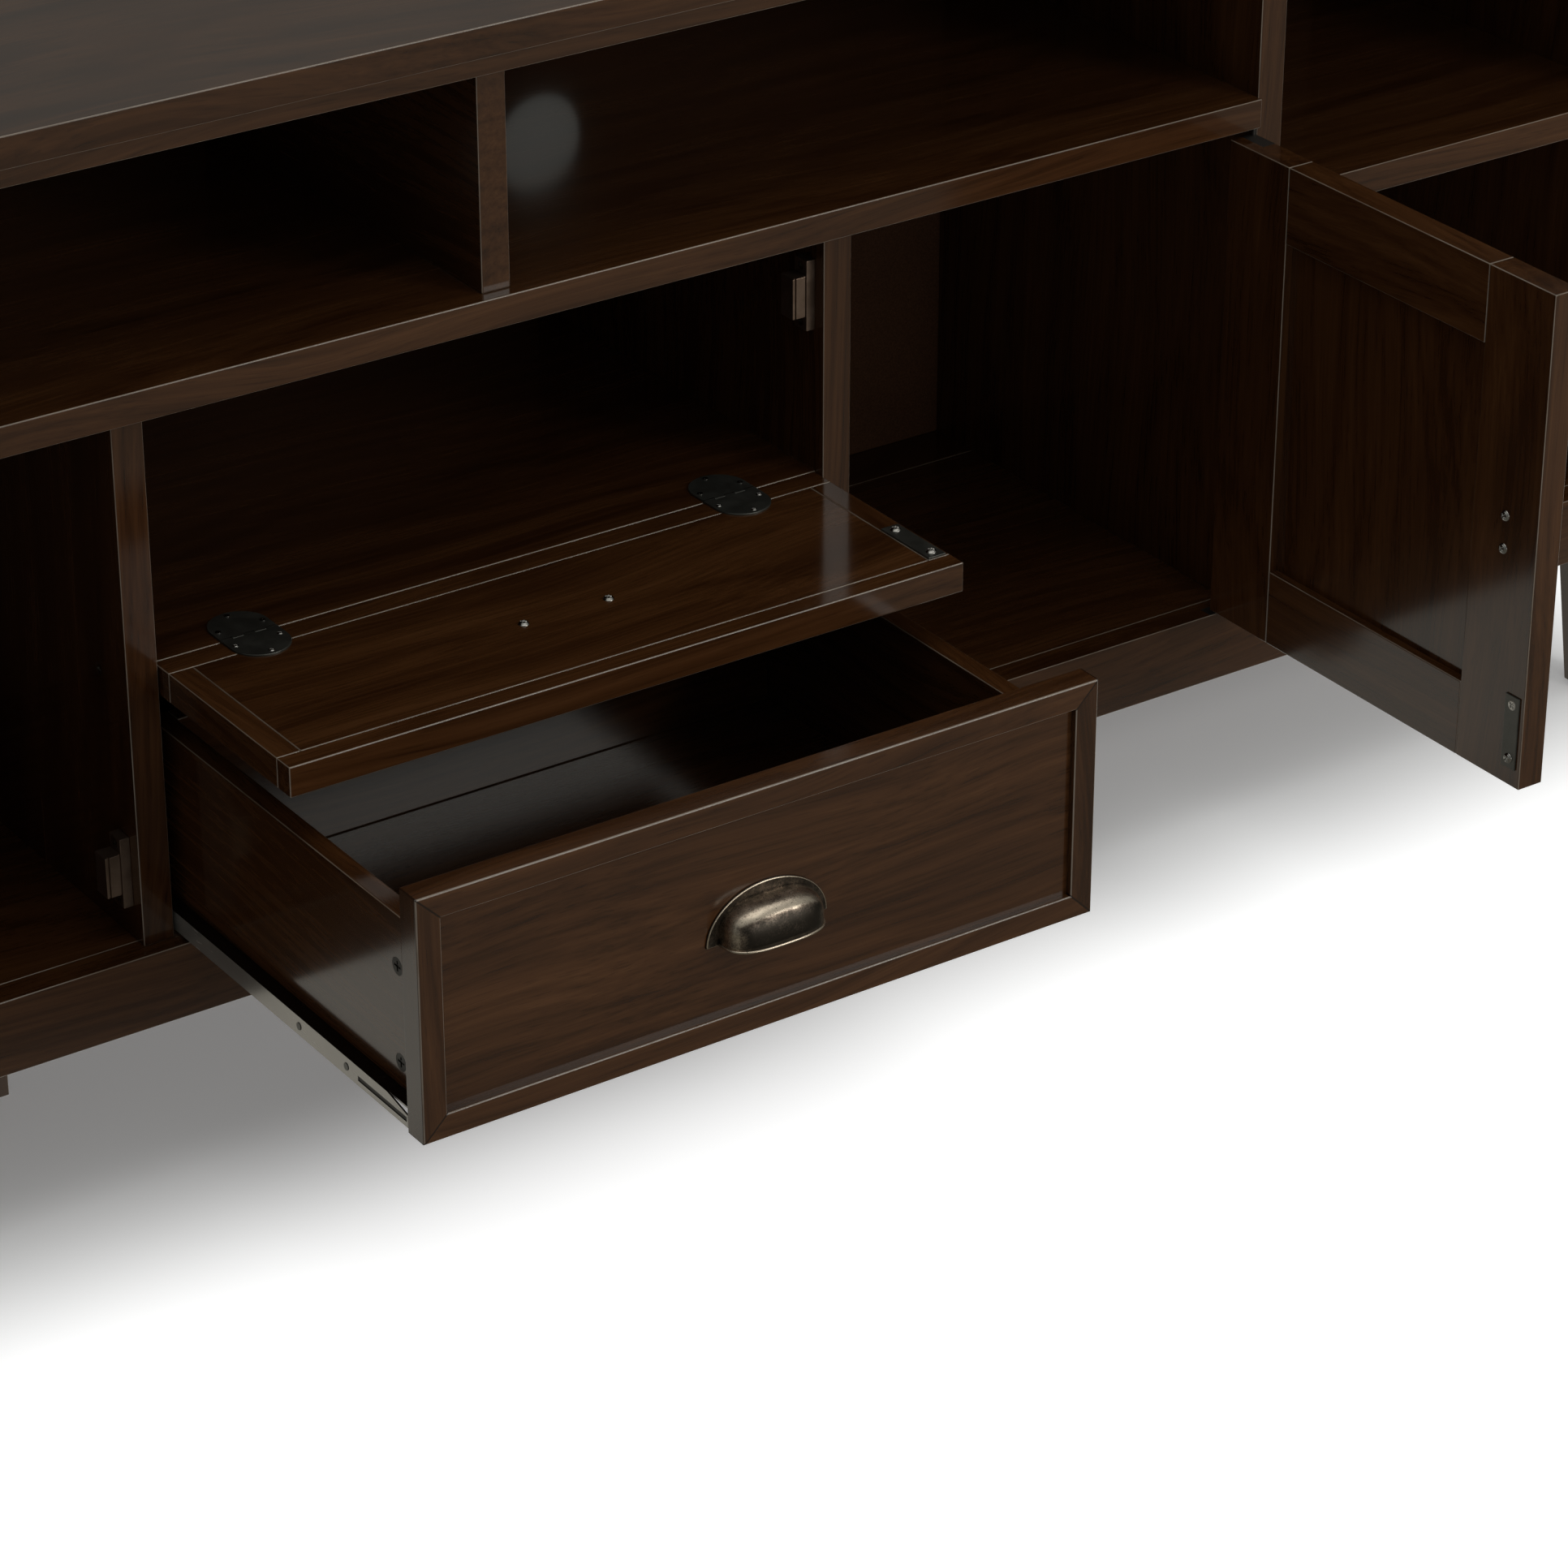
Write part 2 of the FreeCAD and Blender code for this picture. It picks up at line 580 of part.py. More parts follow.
def flush_pull():
    """A pull let into a panel: plate on the plane Z = 0, finger pocket behind it, and the hole it needs."""
    plate = placed(stadium(FLUSH_L, FLUSH_H, FLUSH_T), V(0, 0, 0), FreeCAD.Rotation(Z_AXIS, 90))
    pocket = rounded_block(POCKET_L, POCKET_H, -POCKET_DEPTH, FLUSH_T, POCKET_CORNER)
    hole = rounded_block(POCKET_L + 2 * POCKET_WALL, POCKET_H + 2 * POCKET_WALL,
                         -POCKET_DEPTH - POCKET_WALL, 0, POCKET_CORNER + POCKET_WALL)
    return plate.fuse(hole).cut(pocket).removeSplitter(), hole


def knob_pull():
    """A round knob on an upright oval plate, standing along Z."""
    outline = Part.Ellipse(V(0, 0, 0), KNOB_PLATE_H / 2, KNOB_PLATE_W / 2).toShape()
    plate = Part.Face(Part.Wire([outline])).extrude(V(0, 0, KNOB_PLATE_T))
    plate = placed(plate, V(0, 0, 0), FreeCAD.Rotation(Z_AXIS, 90))
    middle = KNOB_PLATE_T + KNOB_NECK_L + KNOB_HEAD_L / 2
    neck = Part.makeCylinder(KNOB_NECK_R, middle)
    head = ellipsoid(KNOB_R, KNOB_R, KNOB_HEAD_L / 2).translated(V(0, 0, middle))
    return plate.fuse([neck, head]).removeSplitter()


def build_flap():
    """The flap in its open place, level with the centre shelf."""
    panel, rails, stiles = butted_front(flap_width, flap_length, BOARD_T)
    over = FreeCAD.Rotation(X_AXIS, 180)
    at = V(0, HINGE_SETBACK - HINGE_JOINT, hinge_z)
    add("flap_panel", placed(panel, at, over))
    add("flap_rails", *[placed(solid, at, over) for solid in rails])
    add("flap_stiles", *[placed(solid, at, over) for solid in stiles])

    pull, hole = flush_pull()
    face = V(0, at.y - flap_length / 2, shelf_z + PANEL_RECESS)
    add("flap_pull", placed(pull, face, over))
    carve("flap_panel", placed(hole, face, over))
    depth = BOARD_T - PANEL_RECESS
    fastener = screw(PAN_HEAD_R, PAN_HEAD_PROUD, PAN_SHANK_R, depth, PAN_HEAD_PROUD)
    for x in (-PULL_SCREWS / 2, PULL_SCREWS / 2):
        drive("flap_screws", ("flap_panel",), fastener, V(x, face.y, hinge_z), Z_AXIS)

    strike_at = V(half_centre - STRIKE_INSET, HINGE_SETBACK - flap_strike_reach, hinge_z)
    set_strike("flap", ("flap_panel", "flap_rails", "flap_stiles"), strike_at, Z_AXIS, Y_AXIS)


def set_strike(owner, hosts, at, outward, along):
    """A catch's strike plate with two screws, on the face of a front."""
    across = along.cross(outward)
    turn = FreeCAD.Rotation(across, along, outward, "ZXY")
    plate = eased(block(-STRIKE_W / 2, STRIKE_W / 2, -STRIKE_L / 2, STRIKE_L / 2, 0, STRIKE_T), SMALL_EASE)
    add(owner + "_strike_plate", placed(plate, at, turn))
    fastener = screw(SMALL_HEAD_R, STRIKE_T, SMALL_SHANK_R, SMALL_SCREW_L)
    for shift in (-STRIKE_SCREWS / 2, STRIKE_SCREWS / 2):
        point = at + along * shift + outward * STRIKE_T
        drive(owner + "_screws", hosts + (owner + "_strike_plate",), fastener, point, outward)


def build_flap_hinges():
    """Two oval hinges on the surface, half on the shelf and half on the flap, their knuckles let in."""
    axis_y = HINGE_SETBACK
    leaf_top = hinge_z + LEAF_T
    far = OVAL_L
    for x in (-OVAL_SPREAD / 2, OVAL_SPREAD / 2):
        oval = placed(stadium(OVAL_L, OVAL_W, LEAF_T), V(x, axis_y, hinge_z), FreeCAD.Rotation())
        rim = [edge for edge in oval.Edges if edge.BoundBox.ZMin > hinge_z + LEAF_T / 2]
        oval = oval.makeFillet(LEAF_EASE, rim)
        shelf_half = oval.common(block(x - far, x + far, axis_y, axis_y + far, hinge_z, leaf_top))
        flap_half = oval.common(block(x - far, x + far, axis_y - far, axis_y, hinge_z, leaf_top))

        def bar(radius, start, end):
            return rod(radius, V(start, axis_y, hinge_z), V(end, axis_y, hinge_z))

        # Two fixed knuckles with the pin; the moving barrel fills the rest of the width
        left, right = x - OVAL_W / 2, x + OVAL_W / 2
        fixed = [(middle - KNUCKLE_L / 2, middle + KNUCKLE_L / 2)
                 for middle in (x - KNUCKLE_SPREAD / 2, x + KNUCKLE_SPREAD / 2)]
        pin_ends = (fixed[0][0], fixed[1][1])
        moving = [(left, fixed[0][0]), (fixed[0][1], fixed[1][0]), (fixed[1][1], right)]
        clear = KNUCKLE_R + KNUCKLE_PLAY
        for name in ("centre_shelf", "flap_rails"):
            carve(name, bar(clear, left - KNUCKLE_PLAY, right + KNUCKLE_PLAY))
        # Each leaf stands back where the other one's corner turns past it
        swing = LEAF_T * math.sqrt(2) + KNUCKLE_PLAY
        barrel_room = [bar(swing, *ends) for ends in moving]
        knuckle_room = [bar(swing, start - KNUCKLE_PLAY, end + KNUCKLE_PLAY) for start, end in fixed]
        knuckles = [bar(KNUCKLE_R, *ends) for ends in fixed]
        pin = bar(HINGE_PIN_R, *pin_ends)
        bore = bar(HINGE_PIN_R + RUNNING_PLAY, *pin_ends)
        add("shelf_hinge_leaves", shelf_half.cut(barrel_room).fuse(knuckles + [pin]).removeSplitter())
        moving_leaf = flap_half.fuse(bar(KNUCKLE_R, left, right)).cut(knuckle_room + [bore])
        add("flap_hinge_leaves", moving_leaf.removeSplitter())

        fastener = screw(OVAL_HEAD_R, LEAF_T, SMALL_SHANK_R, SMALL_SCREW_L, OVAL_HEAD_PROUD)
        for shift_x, shift_y in ((0, OVAL_TIP_SCREW), (OVAL_PAIR_SCREW_X, OVAL_PAIR_SCREW_Y),
                                 (-OVAL_PAIR_SCREW_X, OVAL_PAIR_SCREW_Y)):
            shelf_at = V(x + shift_x, axis_y + shift_y, leaf_top)
            drive("carcass_screws", ("centre_shelf", "shelf_hinge_leaves"), fastener, shelf_at, Z_AXIS)
            flap_at = V(x + shift_x, axis_y - shift_y, leaf_top)
            drive("flap_screws", ("flap_panel", "flap_rails", "flap_hinge_leaves"), fastener, flap_at, Z_AXIS)


def build_right_door():
    """The right door in its closed place."""
    inner_free = door_free_x + STILE_W
    inner_hinge = door_hinge_x - STILE_W
    rail_low = door_z + RAIL_W
    rail_high = door_top - RAIL_W
    add("right_door_stiles",
        board(inner_hinge, door_hinge_x, 0, BOARD_T, door_z, door_top),
        board(door_free_x, inner_free, 0, BOARD_T, door_z, door_top))
    add("right_door_rails",
        board(inner_free, inner_hinge, 0, BOARD_T, door_z, rail_low),
        board(inner_free, inner_hinge, 0, BOARD_T, rail_high, door_top))
    panel = block(inner_free - TONGUE, inner_hinge + TONGUE, DOOR_RECESS_OUT, BOARD_T - DOOR_RECESS_IN,
                  rail_low - TONGUE, rail_high + TONGUE)
    add("right_door_panel", panel)
    carve("right_door_stiles", panel)
    carve("right_door_rails", panel)

    middle = V(door_free_x + STILE_W / 2, 0, (door_z + door_top) / 2)
    add("right_door_pull", placed(knob_pull(), middle, FreeCAD.Rotation(X_AXIS, 90)))
    fastener = screw(PAN_HEAD_R, PAN_HEAD_PROUD, PAN_SHANK_R, BOARD_T, PAN_HEAD_PROUD)
    for z in (middle.z - KNOB_SCREWS / 2, middle.z + KNOB_SCREWS / 2):
        drive("right_door_screws", ("right_door_stiles",), fastener, V(middle.x, BOARD_T, z), Y_AXIS)
    strike_at = V(door_free_x + STRIKE_INSET, BOARD_T, bay_z + DOOR_STRIKE_RISE)
    set_strike("right_door", ("right_door_stiles",), strike_at, Y_AXIS, Z_AXIS)


def build_pivots():
    """Pins on let-in plates at the foot and head of each door, and the bored plates they turn in."""
    edge = PIVOT_PLATE_EDGE
    for inward, door_end, cabinet_face, host in ((1, door_z, bay_z, "front_apron"),
                                                 (-1, door_top, mid_z, "mid_shelf")):
        low = min(door_end, door_end + inward * PIVOT_PLATE_T)
        plate = block(door_hinge_x - PIVOT_PLATE_L, door_hinge_x - edge, edge, edge + PIVOT_PLATE_W,
                      low, low + PIVOT_PLATE_T)
        reach = door_end + inward * (PIVOT_PLATE_T + PIVOT_ENGAGE)
        base = V(pivot.x, pivot.y, cabinet_face)
        tip = V(pivot.x, pivot.y, reach)
        past = V(pivot.x, pivot.y, reach + inward * PIVOT_ENGAGE)
        clear = rod(AXLE_R + RUNNING_PLAY, base, past)
        add("right_door_pivots", plate.cut(clear))
        carve("right_door_stiles", plate, clear)

        low = min(cabinet_face, cabinet_face - inward * PIVOT_PLATE_T)
        fixed = block(door_hinge_x - PIVOT_PLATE_L, door_hinge_x - edge, edge, edge + PIVOT_PLATE_W,
                      low, low + PIVOT_PLATE_T)
        carve(host, fixed, mirrored(fixed))
        fixed = fixed.fuse(rod(AXLE_R, base, tip)).removeSplitter()
        add("door_fixed_pivots", mirrored(fixed), fixed)


def build_left_door():
    """The left door is the right one mirrored."""
    names = [name for name in pieces if name.startswith("right_door_")]
    for name in names:
        add(name.replace("right_", "left_"), *[mirrored(solid) for solid in pieces[name]])


def at_rest(name, solid):
    """A piece moved from where it was made to where it stands with everything open."""
    if name.startswith("drawer_"):
        solid = solid.translated(V(0, -drawer_travel, 0))
    if name.startswith("right_door_"):
        solid = solid.rotated(pivot, Z_AXIS, 90)
    if name.startswith("left_door_"):
        solid = solid.rotated(V(-pivot.x, pivot.y, 0), Z_AXIS, -90)
    return solid.translated(V(0, -middle_y, 0))


build_cabinet()
build_base()
build_catches()
build_shelf_screws()
build_runners()
build_drawer()
build_flap()
build_flap_hinges()
build_right_door()
build_pivots()
build_left_door()

# The origin lies under the middle of the open cabinet, between its back and whichever front reaches furthest
door_reach = door_width - 2 * PIVOT_INSET
drawer_reach = drawer_travel - PANEL_RECESS + CUP_REACH
flap_reach = flap_length + HINGE_JOINT - HINGE_SETBACK
middle_y = (rear_y - max(door_reach, drawer_reach, flap_reach)) / 2

os.makedirs("parts", exist_ok=True)
for name, solids in pieces.items():
    rested = [at_rest(name, solid) for solid in solids]
    shape = rested[0] if len(rested) == 1 else Part.makeCompound(rested)
    shape.exportStep("parts/" + name + ".step")
print(len(pieces), "nodes, drawer travel", round(drawer_travel, 2), "origin shift", round(middle_y, 2))
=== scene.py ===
# %% [markdown]
# A media cabinet, opened up
#
# The real object is a long, low cabinet in dark stained walnut. Here its flap is down, its drawer is pulled
# out and its doors stand open. The boards, hinges and runners already have their true shapes in the packed
# model, so this lesson is about what Blender adds: wood you can believe, worn bronze, and soft studio light.
# All lengths are in metres.

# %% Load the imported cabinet
import json
import math

import bmesh
import bpy
from mathutils import Matrix, Vector


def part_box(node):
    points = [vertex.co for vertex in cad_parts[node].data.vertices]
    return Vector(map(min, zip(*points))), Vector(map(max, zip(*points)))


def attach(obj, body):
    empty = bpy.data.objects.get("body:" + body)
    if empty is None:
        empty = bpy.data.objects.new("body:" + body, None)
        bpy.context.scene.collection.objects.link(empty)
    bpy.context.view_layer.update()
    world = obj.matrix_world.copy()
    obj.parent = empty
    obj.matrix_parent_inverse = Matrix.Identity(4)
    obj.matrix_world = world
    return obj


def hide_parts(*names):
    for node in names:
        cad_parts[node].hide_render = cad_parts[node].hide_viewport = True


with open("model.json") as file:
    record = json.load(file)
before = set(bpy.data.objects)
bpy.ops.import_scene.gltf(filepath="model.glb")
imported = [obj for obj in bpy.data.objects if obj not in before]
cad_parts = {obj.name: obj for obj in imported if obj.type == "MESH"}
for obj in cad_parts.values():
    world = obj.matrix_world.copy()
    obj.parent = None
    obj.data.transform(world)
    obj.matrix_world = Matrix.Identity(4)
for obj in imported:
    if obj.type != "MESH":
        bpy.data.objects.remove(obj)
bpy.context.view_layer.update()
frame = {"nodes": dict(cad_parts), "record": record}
nodes = frame["nodes"]

# %% [markdown]
# Short words for shader nodes
#
# A node tree built in code is mostly "make a node, join it to the last one". A few small helpers keep every
# later cell short: one makes a node, one feeds a socket with a link or a plain value, and the others wrap the
# nodes used most. They work the same in a material and inside a node group.

# %% Helpers for node trees
def node(tree, kind, **settings):
    made = tree.nodes.new("ShaderNode" + kind)
    for name, setting in settings.items():
        setattr(made, name, setting)
    return made


def feed(tree, socket, source):
    if isinstance(source, bpy.types.NodeSocket):
        tree.links.new(source, socket)
    else:
        socket.default_value = source


def calc(tree, operation, *terms):
    made = node(tree, "Math", operation=operation)
    for socket, term in zip(made.inputs, terms):
        feed(tree, socket, term)
    return made.outputs[0]


def vector_calc(tree, operation, *terms):
    made = node(tree, "VectorMath", operation=operation)
    for socket, term in zip(made.inputs, terms):
        feed(tree, socket, term)
    return made.outputs["Value" if operation == "LENGTH" else "Vector"]


def coordinates(tree, kind="Object"):
    return node(tree, "TexCoord").outputs[kind]


def split(tree, vector):
    made = node(tree, "SeparateXYZ")
    feed(tree, made.inputs[0], vector)
    return made.outputs


print("node helpers ready")

# %% [markdown]
# Noise, ranges and colours
#
# Five more helpers shape what the nodes carry. Noise is stretched by a factor per axis, so its grains have a
# size in metres. Sway moves a value up and down by another one's swing about its middle. Remap turns a range
# into a smooth step, and the last two mix colours.

# %% Helpers for noise and colour
def noise(tree, position, stretch, detail=2.0, roughness=0.5, output="Fac"):
    made = node(tree, "TexNoise")
    feed(tree, made.inputs["Vector"], vector_calc(tree, "MULTIPLY", position, stretch))
    made.inputs["Scale"].default_value = 1.0
    made.inputs["Detail"].default_value = detail
    made.inputs["Roughness"].default_value = roughness
    return made.outputs[output]


def sway(tree, base, source, middle, amount):
    return calc(tree, "MULTIPLY_ADD", calc(tree, "SUBTRACT", source, middle), amount, base)


def remap(tree, source, low, high, to_low=0.0, to_high=1.0):
    made = node(tree, "MapRange", interpolation_type="SMOOTHSTEP")
    ends = {"From Min": low, "From Max": high, "To Min": to_low, "To Max": to_high}
    for name, setting in ends.items():
        made.inputs[name].default_value = setting
    feed(tree, made.inputs["Value"], source)
    return made.outputs["Result"]


MIX_FACTOR, MIX_FIRST, MIX_SECOND, MIX_RESULT = 0, 6, 7, 2


def mix_colour(tree, factor, first, second):
    made = node(tree, "Mix", data_type="RGBA")
    feed(tree, made.inputs[MIX_FACTOR], factor)
    feed(tree, made.inputs[MIX_FIRST], first)
    feed(tree, made.inputs[MIX_SECOND], second)
    return made.outputs[MIX_RESULT]


def ramp(tree, factor, stops):
    made = node(tree, "ValToRGB")
    feed(tree, made.inputs["Fac"], factor)
    points = made.color_ramp.elements
    while len(points) < len(stops):
        points.new(1.0)
    for point, (place, colour) in zip(points, stops):
        point.position = place
        point.color = (*colour, 1.0)
    return made.outputs["Color"]


print("noise and colour helpers ready")

# %% [markdown]
# Node groups
#
# Grain, eased edges and smudges turn up in several finishes. Each is a node group: built once, with named
# inputs, and placed in every material that needs it with its own values. A group's sockets are made on its
# interface, and its inside starts at a Group Input and ends at a Group Output.

# %% A maker of node groups
def new_group(name, inputs, outputs):
    group = bpy.data.node_groups.new(name, "ShaderNodeTree")
    for label, kind, start in inputs:
        socket = group.interface.new_socket(label, in_out="INPUT", socket_type="NodeSocket" + kind)
        socket.default_value = start
    for label in outputs:
        group.interface.new_socket(label, in_out="OUTPUT", socket_type="NodeSocketFloat")
    entry = group.nodes.new("NodeGroupInput")
    leave = group.nodes.new("NodeGroupOutput")
    return group, entry.outputs, leave.inputs


def use_group(tree, group, **inputs):
    placed = node(tree, "Group", node_tree=group)
    for name, source in inputs.items():
        feed(tree, placed.inputs[name.replace("_", " ")], source)
    return placed.outputs


print("group maker ready")

# %% [markdown]
# Walnut figure
#
# A board is a slice through a log, so its lines are growth rings seen edge on. The group measures how far a
# point lies from the heart of an imagined log that runs along X, bends that distance with slow noise, and draws
# a dark line at every ring: near the heart the rings open into arches, further out they run straight. Long
# thin noise adds the streaks of stain between them and short thin noise adds pores. Everything is in metres,
# so a board of any size gets grain of the right scale, and a seed gives each board its own place in its log.

# %% Group: walnut figure
LOG_RANGE, LOG_START = (9.0, 0.22, 0.16), (0.0, -0.11, 0.03)
BEND_STRETCH, BEND = (1.5, 4.0, 4.0), 0.11
WOBBLE_STRETCH, WOBBLE = (7.0, 26.0, 26.0), 0.007
RINGS_PER_METRE, RING_SHARPNESS, RING_MEAN = 88, 2.5, 0.3
BAND_STRETCH, STREAK_STRETCH = (1.5, 36.0, 36.0), (5.0, 310.0, 310.0)
PORE_STRETCH, PORE_FROM, PORE_TO = (26.0, 760.0, 760.0), 0.60, 0.70
MIDDLE_TONE, BAND_SWING, STREAK_SWING, RING_SWING, BOARD_SWING = 0.52, 0.62, 0.62, -0.10, 0.10
STREAK_RELIEF = 0.5


def make_figure():
    group, given, out = new_group(
        "walnut figure",
        [("Position", "Vector", (0, 0, 0)), ("Seed", "Float", 0.0)],
        ["Tone", "Pores", "Height"])
    dice = node(group, "TexWhiteNoise", noise_dimensions="1D")
    feed(group, dice.inputs["W"], given["Seed"])
    place = vector_calc(group, "MULTIPLY_ADD", dice.outputs["Color"], LOG_RANGE, LOG_START)
    place = vector_calc(group, "ADD", given["Position"], place)

    slow = noise(group, place, BEND_STRETCH, output="Color")
    wander = vector_calc(group, "MULTIPLY_ADD", slow, (0.0, BEND, BEND), (0.0, -BEND / 2, -BEND / 2))
    bent = vector_calc(group, "ADD", place, wander)
    wobble = calc(group, "MULTIPLY", noise(group, place, WOBBLE_STRETCH), WOBBLE)
    heart = vector_calc(group, "LENGTH", vector_calc(group, "MULTIPLY", bent, (0.0, 1.0, 1.0)))
    turns = calc(group, "MULTIPLY", calc(group, "ADD", heart, wobble), 2 * math.pi * RINGS_PER_METRE)
    waves = calc(group, "MULTIPLY_ADD", calc(group, "SINE", turns), 0.5, 0.5)
    rings = calc(group, "POWER", waves, RING_SHARPNESS)

    bands = noise(group, bent, BAND_STRETCH, detail=3.0)
    streaks = noise(group, bent, STREAK_STRETCH, detail=3.0, roughness=0.62)
    tone = MIDDLE_TONE
    for source, middle, swing in ((bands, 0.5, BAND_SWING), (streaks, 0.5, STREAK_SWING),
                                  (rings, RING_MEAN, RING_SWING), (dice.outputs["Value"], 0.5, BOARD_SWING)):
        tone = sway(group, tone, source, middle, swing)

    pores = remap(group, noise(group, bent, PORE_STRETCH, detail=1.0), PORE_FROM, PORE_TO)
    height = calc(group, "SUBTRACT", calc(group, "MULTIPLY", streaks, STREAK_RELIEF), pores)
    feed(group, out["Tone"], tone)
    feed(group, out["Pores"], pores)
    feed(group, out["Height"], height)
    return group


walnut_figure = make_figure()
print("group:", walnut_figure.name, [item.name for item in walnut_figure.interface.items_tree])

# %% [markdown]
# Eased edges
#
# Every board has its corners rounded by a millimetre, and there the lacquer is thinnest and the stain is
# rubbed lightest. The wood paints these edges a pale grey: partly that wear, and partly a painted highlight
# for the thin light line that a rounded edge catches. Boards are square to their own axes, so on a flat face
# the normal points along one axis. On a rounded edge it points between two. One minus the largest part of the
# normal is therefore zero on the faces and rises on the edges, with no need to paint or measure anything.
# Noise makes the lightening uneven.

# %% Group: eased edges
EDGE_FROM, EDGE_TO = 0.03, 0.18
EDGE_PATCHES = (28.0, 28.0, 28.0)
# Least share of the edge lightening, which is wear and painted highlight, where the noise is low.
LEAST_WORN_EDGE_AND_HIGHLIGHT = 0.6


def make_edges():
    group, given, out = new_group("eased edges", [("Position", "Vector", (0, 0, 0))], ["Mask"])
    size = split(group, vector_calc(group, "ABSOLUTE", coordinates(group, "Normal")))
    largest = calc(group, "MAXIMUM", calc(group, "MAXIMUM", size["X"], size["Y"]), size["Z"])
    mask = remap(group, calc(group, "SUBTRACT", 1.0, largest), EDGE_FROM, EDGE_TO)
    patchy = noise(group, given["Position"], EDGE_PATCHES, detail=3.0)
    patchy = remap(group, patchy, 0.25, 0.6, LEAST_WORN_EDGE_AND_HIGHLIGHT, 1.0)
    feed(group, out["Mask"], calc(group, "MULTIPLY", mask, patchy))
    return group


eased_edges = make_edges()
print("group:", eased_edges.name)

# %% [markdown]
# Handling
#
# Nothing that people touch stays evenly shiny. Soft patches left by hands and cloths shift the roughness a
# little, and a few fine hairlines cross metal. One group serves the wood and all the plain fittings.

# %% Group: handling marks
HAIRLINE_STRETCH = (60.0, 60.0, 1400.0)


def make_handling():
    group, given, out = new_group(
        "handling marks",
        [("Position", "Vector", (0, 0, 0)), ("Patch Size", "Float", 6.0)],
        ["Patches", "Hairlines"])
    scaled = node(group, "VectorMath", operation="SCALE")
    feed(group, scaled.inputs[0], given["Position"])
    feed(group, scaled.inputs["Scale"], given["Patch Size"])
    patches = noise(group, scaled.outputs["Vector"], (1.0, 1.0, 1.0), detail=5.0, roughness=0.6)
    lines = noise(group, given["Position"], HAIRLINE_STRETCH)
    feed(group, out["Patches"], remap(group, patches, 0.3, 0.7))
    feed(group, out["Hairlines"], remap(group, lines, 0.6, 0.75))
    return group


handling = make_handling()
print("group:", handling.name)

# %% [markdown]
# Mitred corners
#
# The drawer front is framed like a picture, and its rails and stiles meet at 45 degrees. Glue and dirt leave a
# thin dark line along each mitre. Such a line is where the distance to the nearest end equals the distance to
# the top or bottom, so the group compares the two, and both the rails and the stiles use it.

# %% Group: mitre line
MITRE_DARK, MITRE_FADED, MITRE_STRENGTH = 0.0005, 0.0011, 0.9


def make_mitre():
    group, given, out = new_group(
        "mitre line",
        [("Position", "Vector", (0, 0, 0)), ("Half Width", "Float", 0.25), ("Middle", "Float", 0.2),
         ("Half Height", "Float", 0.08)],
        ["Mask"])
    place = split(group, given["Position"])
    sideways = calc(group, "SUBTRACT", calc(group, "ABSOLUTE", place["X"]), given["Half Width"])
    upward = calc(group, "ABSOLUTE", calc(group, "SUBTRACT", place["Z"], given["Middle"]))
    upward = calc(group, "SUBTRACT", upward, given["Half Height"])
    apart = calc(group, "ABSOLUTE", calc(group, "SUBTRACT", sideways, upward))
    feed(group, out["Mask"], remap(group, apart, MITRE_DARK, MITRE_FADED, MITRE_STRENGTH, 0.0))
    return group


mitre_line = make_mitre()
print("group:", mitre_line.name)

# %% [markdown]
# Stained walnut under lacquer
#
# The stain is a deep red-brown, and a semi-gloss lacquer lies over it. In the Principled shader the wood is
# the base layer and the lacquer is the coat, so the wood stays matt below while reflections lie on top of it.
# The coat follows Fresnel by itself: fronts seen square on stay brown, and shelves seen at a low angle turn
# grey with what they mirror. Three versions differ only in which axis the grain follows, and the boards of the
# drawer's frame add the line of their mitres. A number stored on each object is its seed, so neighbouring
# boards never share their figure.

# %% Walnut in three directions
GRAIN_ORDER = {"X": "XYZ", "Y": "YZX", "Z": "ZXY"}
STAIN = [(0.10, (0.0110, 0.0033, 0.0009)), (0.38, (0.0300, 0.0104, 0.0030)),
         (0.62, (0.0540, 0.0205, 0.0066)), (0.95, (0.0920, 0.0385, 0.0140))]
# Pale grey for eased edges: partly rubbed stain, partly a painted highlight.
WORN_EDGE_AND_HIGHLIGHT, WORN_EDGE_AND_HIGHLIGHT_SHARE = (0.240, 0.200, 0.165, 1.0), 0.8
PORE_DARK, PORE_SHARE = (0.008, 0.0026, 0.0008, 1.0), 0.28
WOOD_ROUGH, WOOD_ROUGH_SWING = 0.38, 0.10


def principled(name):
    material = bpy.data.materials.new(name)
    material.use_nodes = True
    return material, material.node_tree, material.node_tree.nodes["Principled BSDF"]


def add_bump(tree, shader, height, strength, distance):
    bump = node(tree, "Bump")
    bump.inputs["Strength"].default_value = strength
    bump.inputs["Distance"].default_value = distance
    feed(tree, bump.inputs["Height"], height)
    feed(tree, shader.inputs["Normal"], bump.outputs["Normal"])


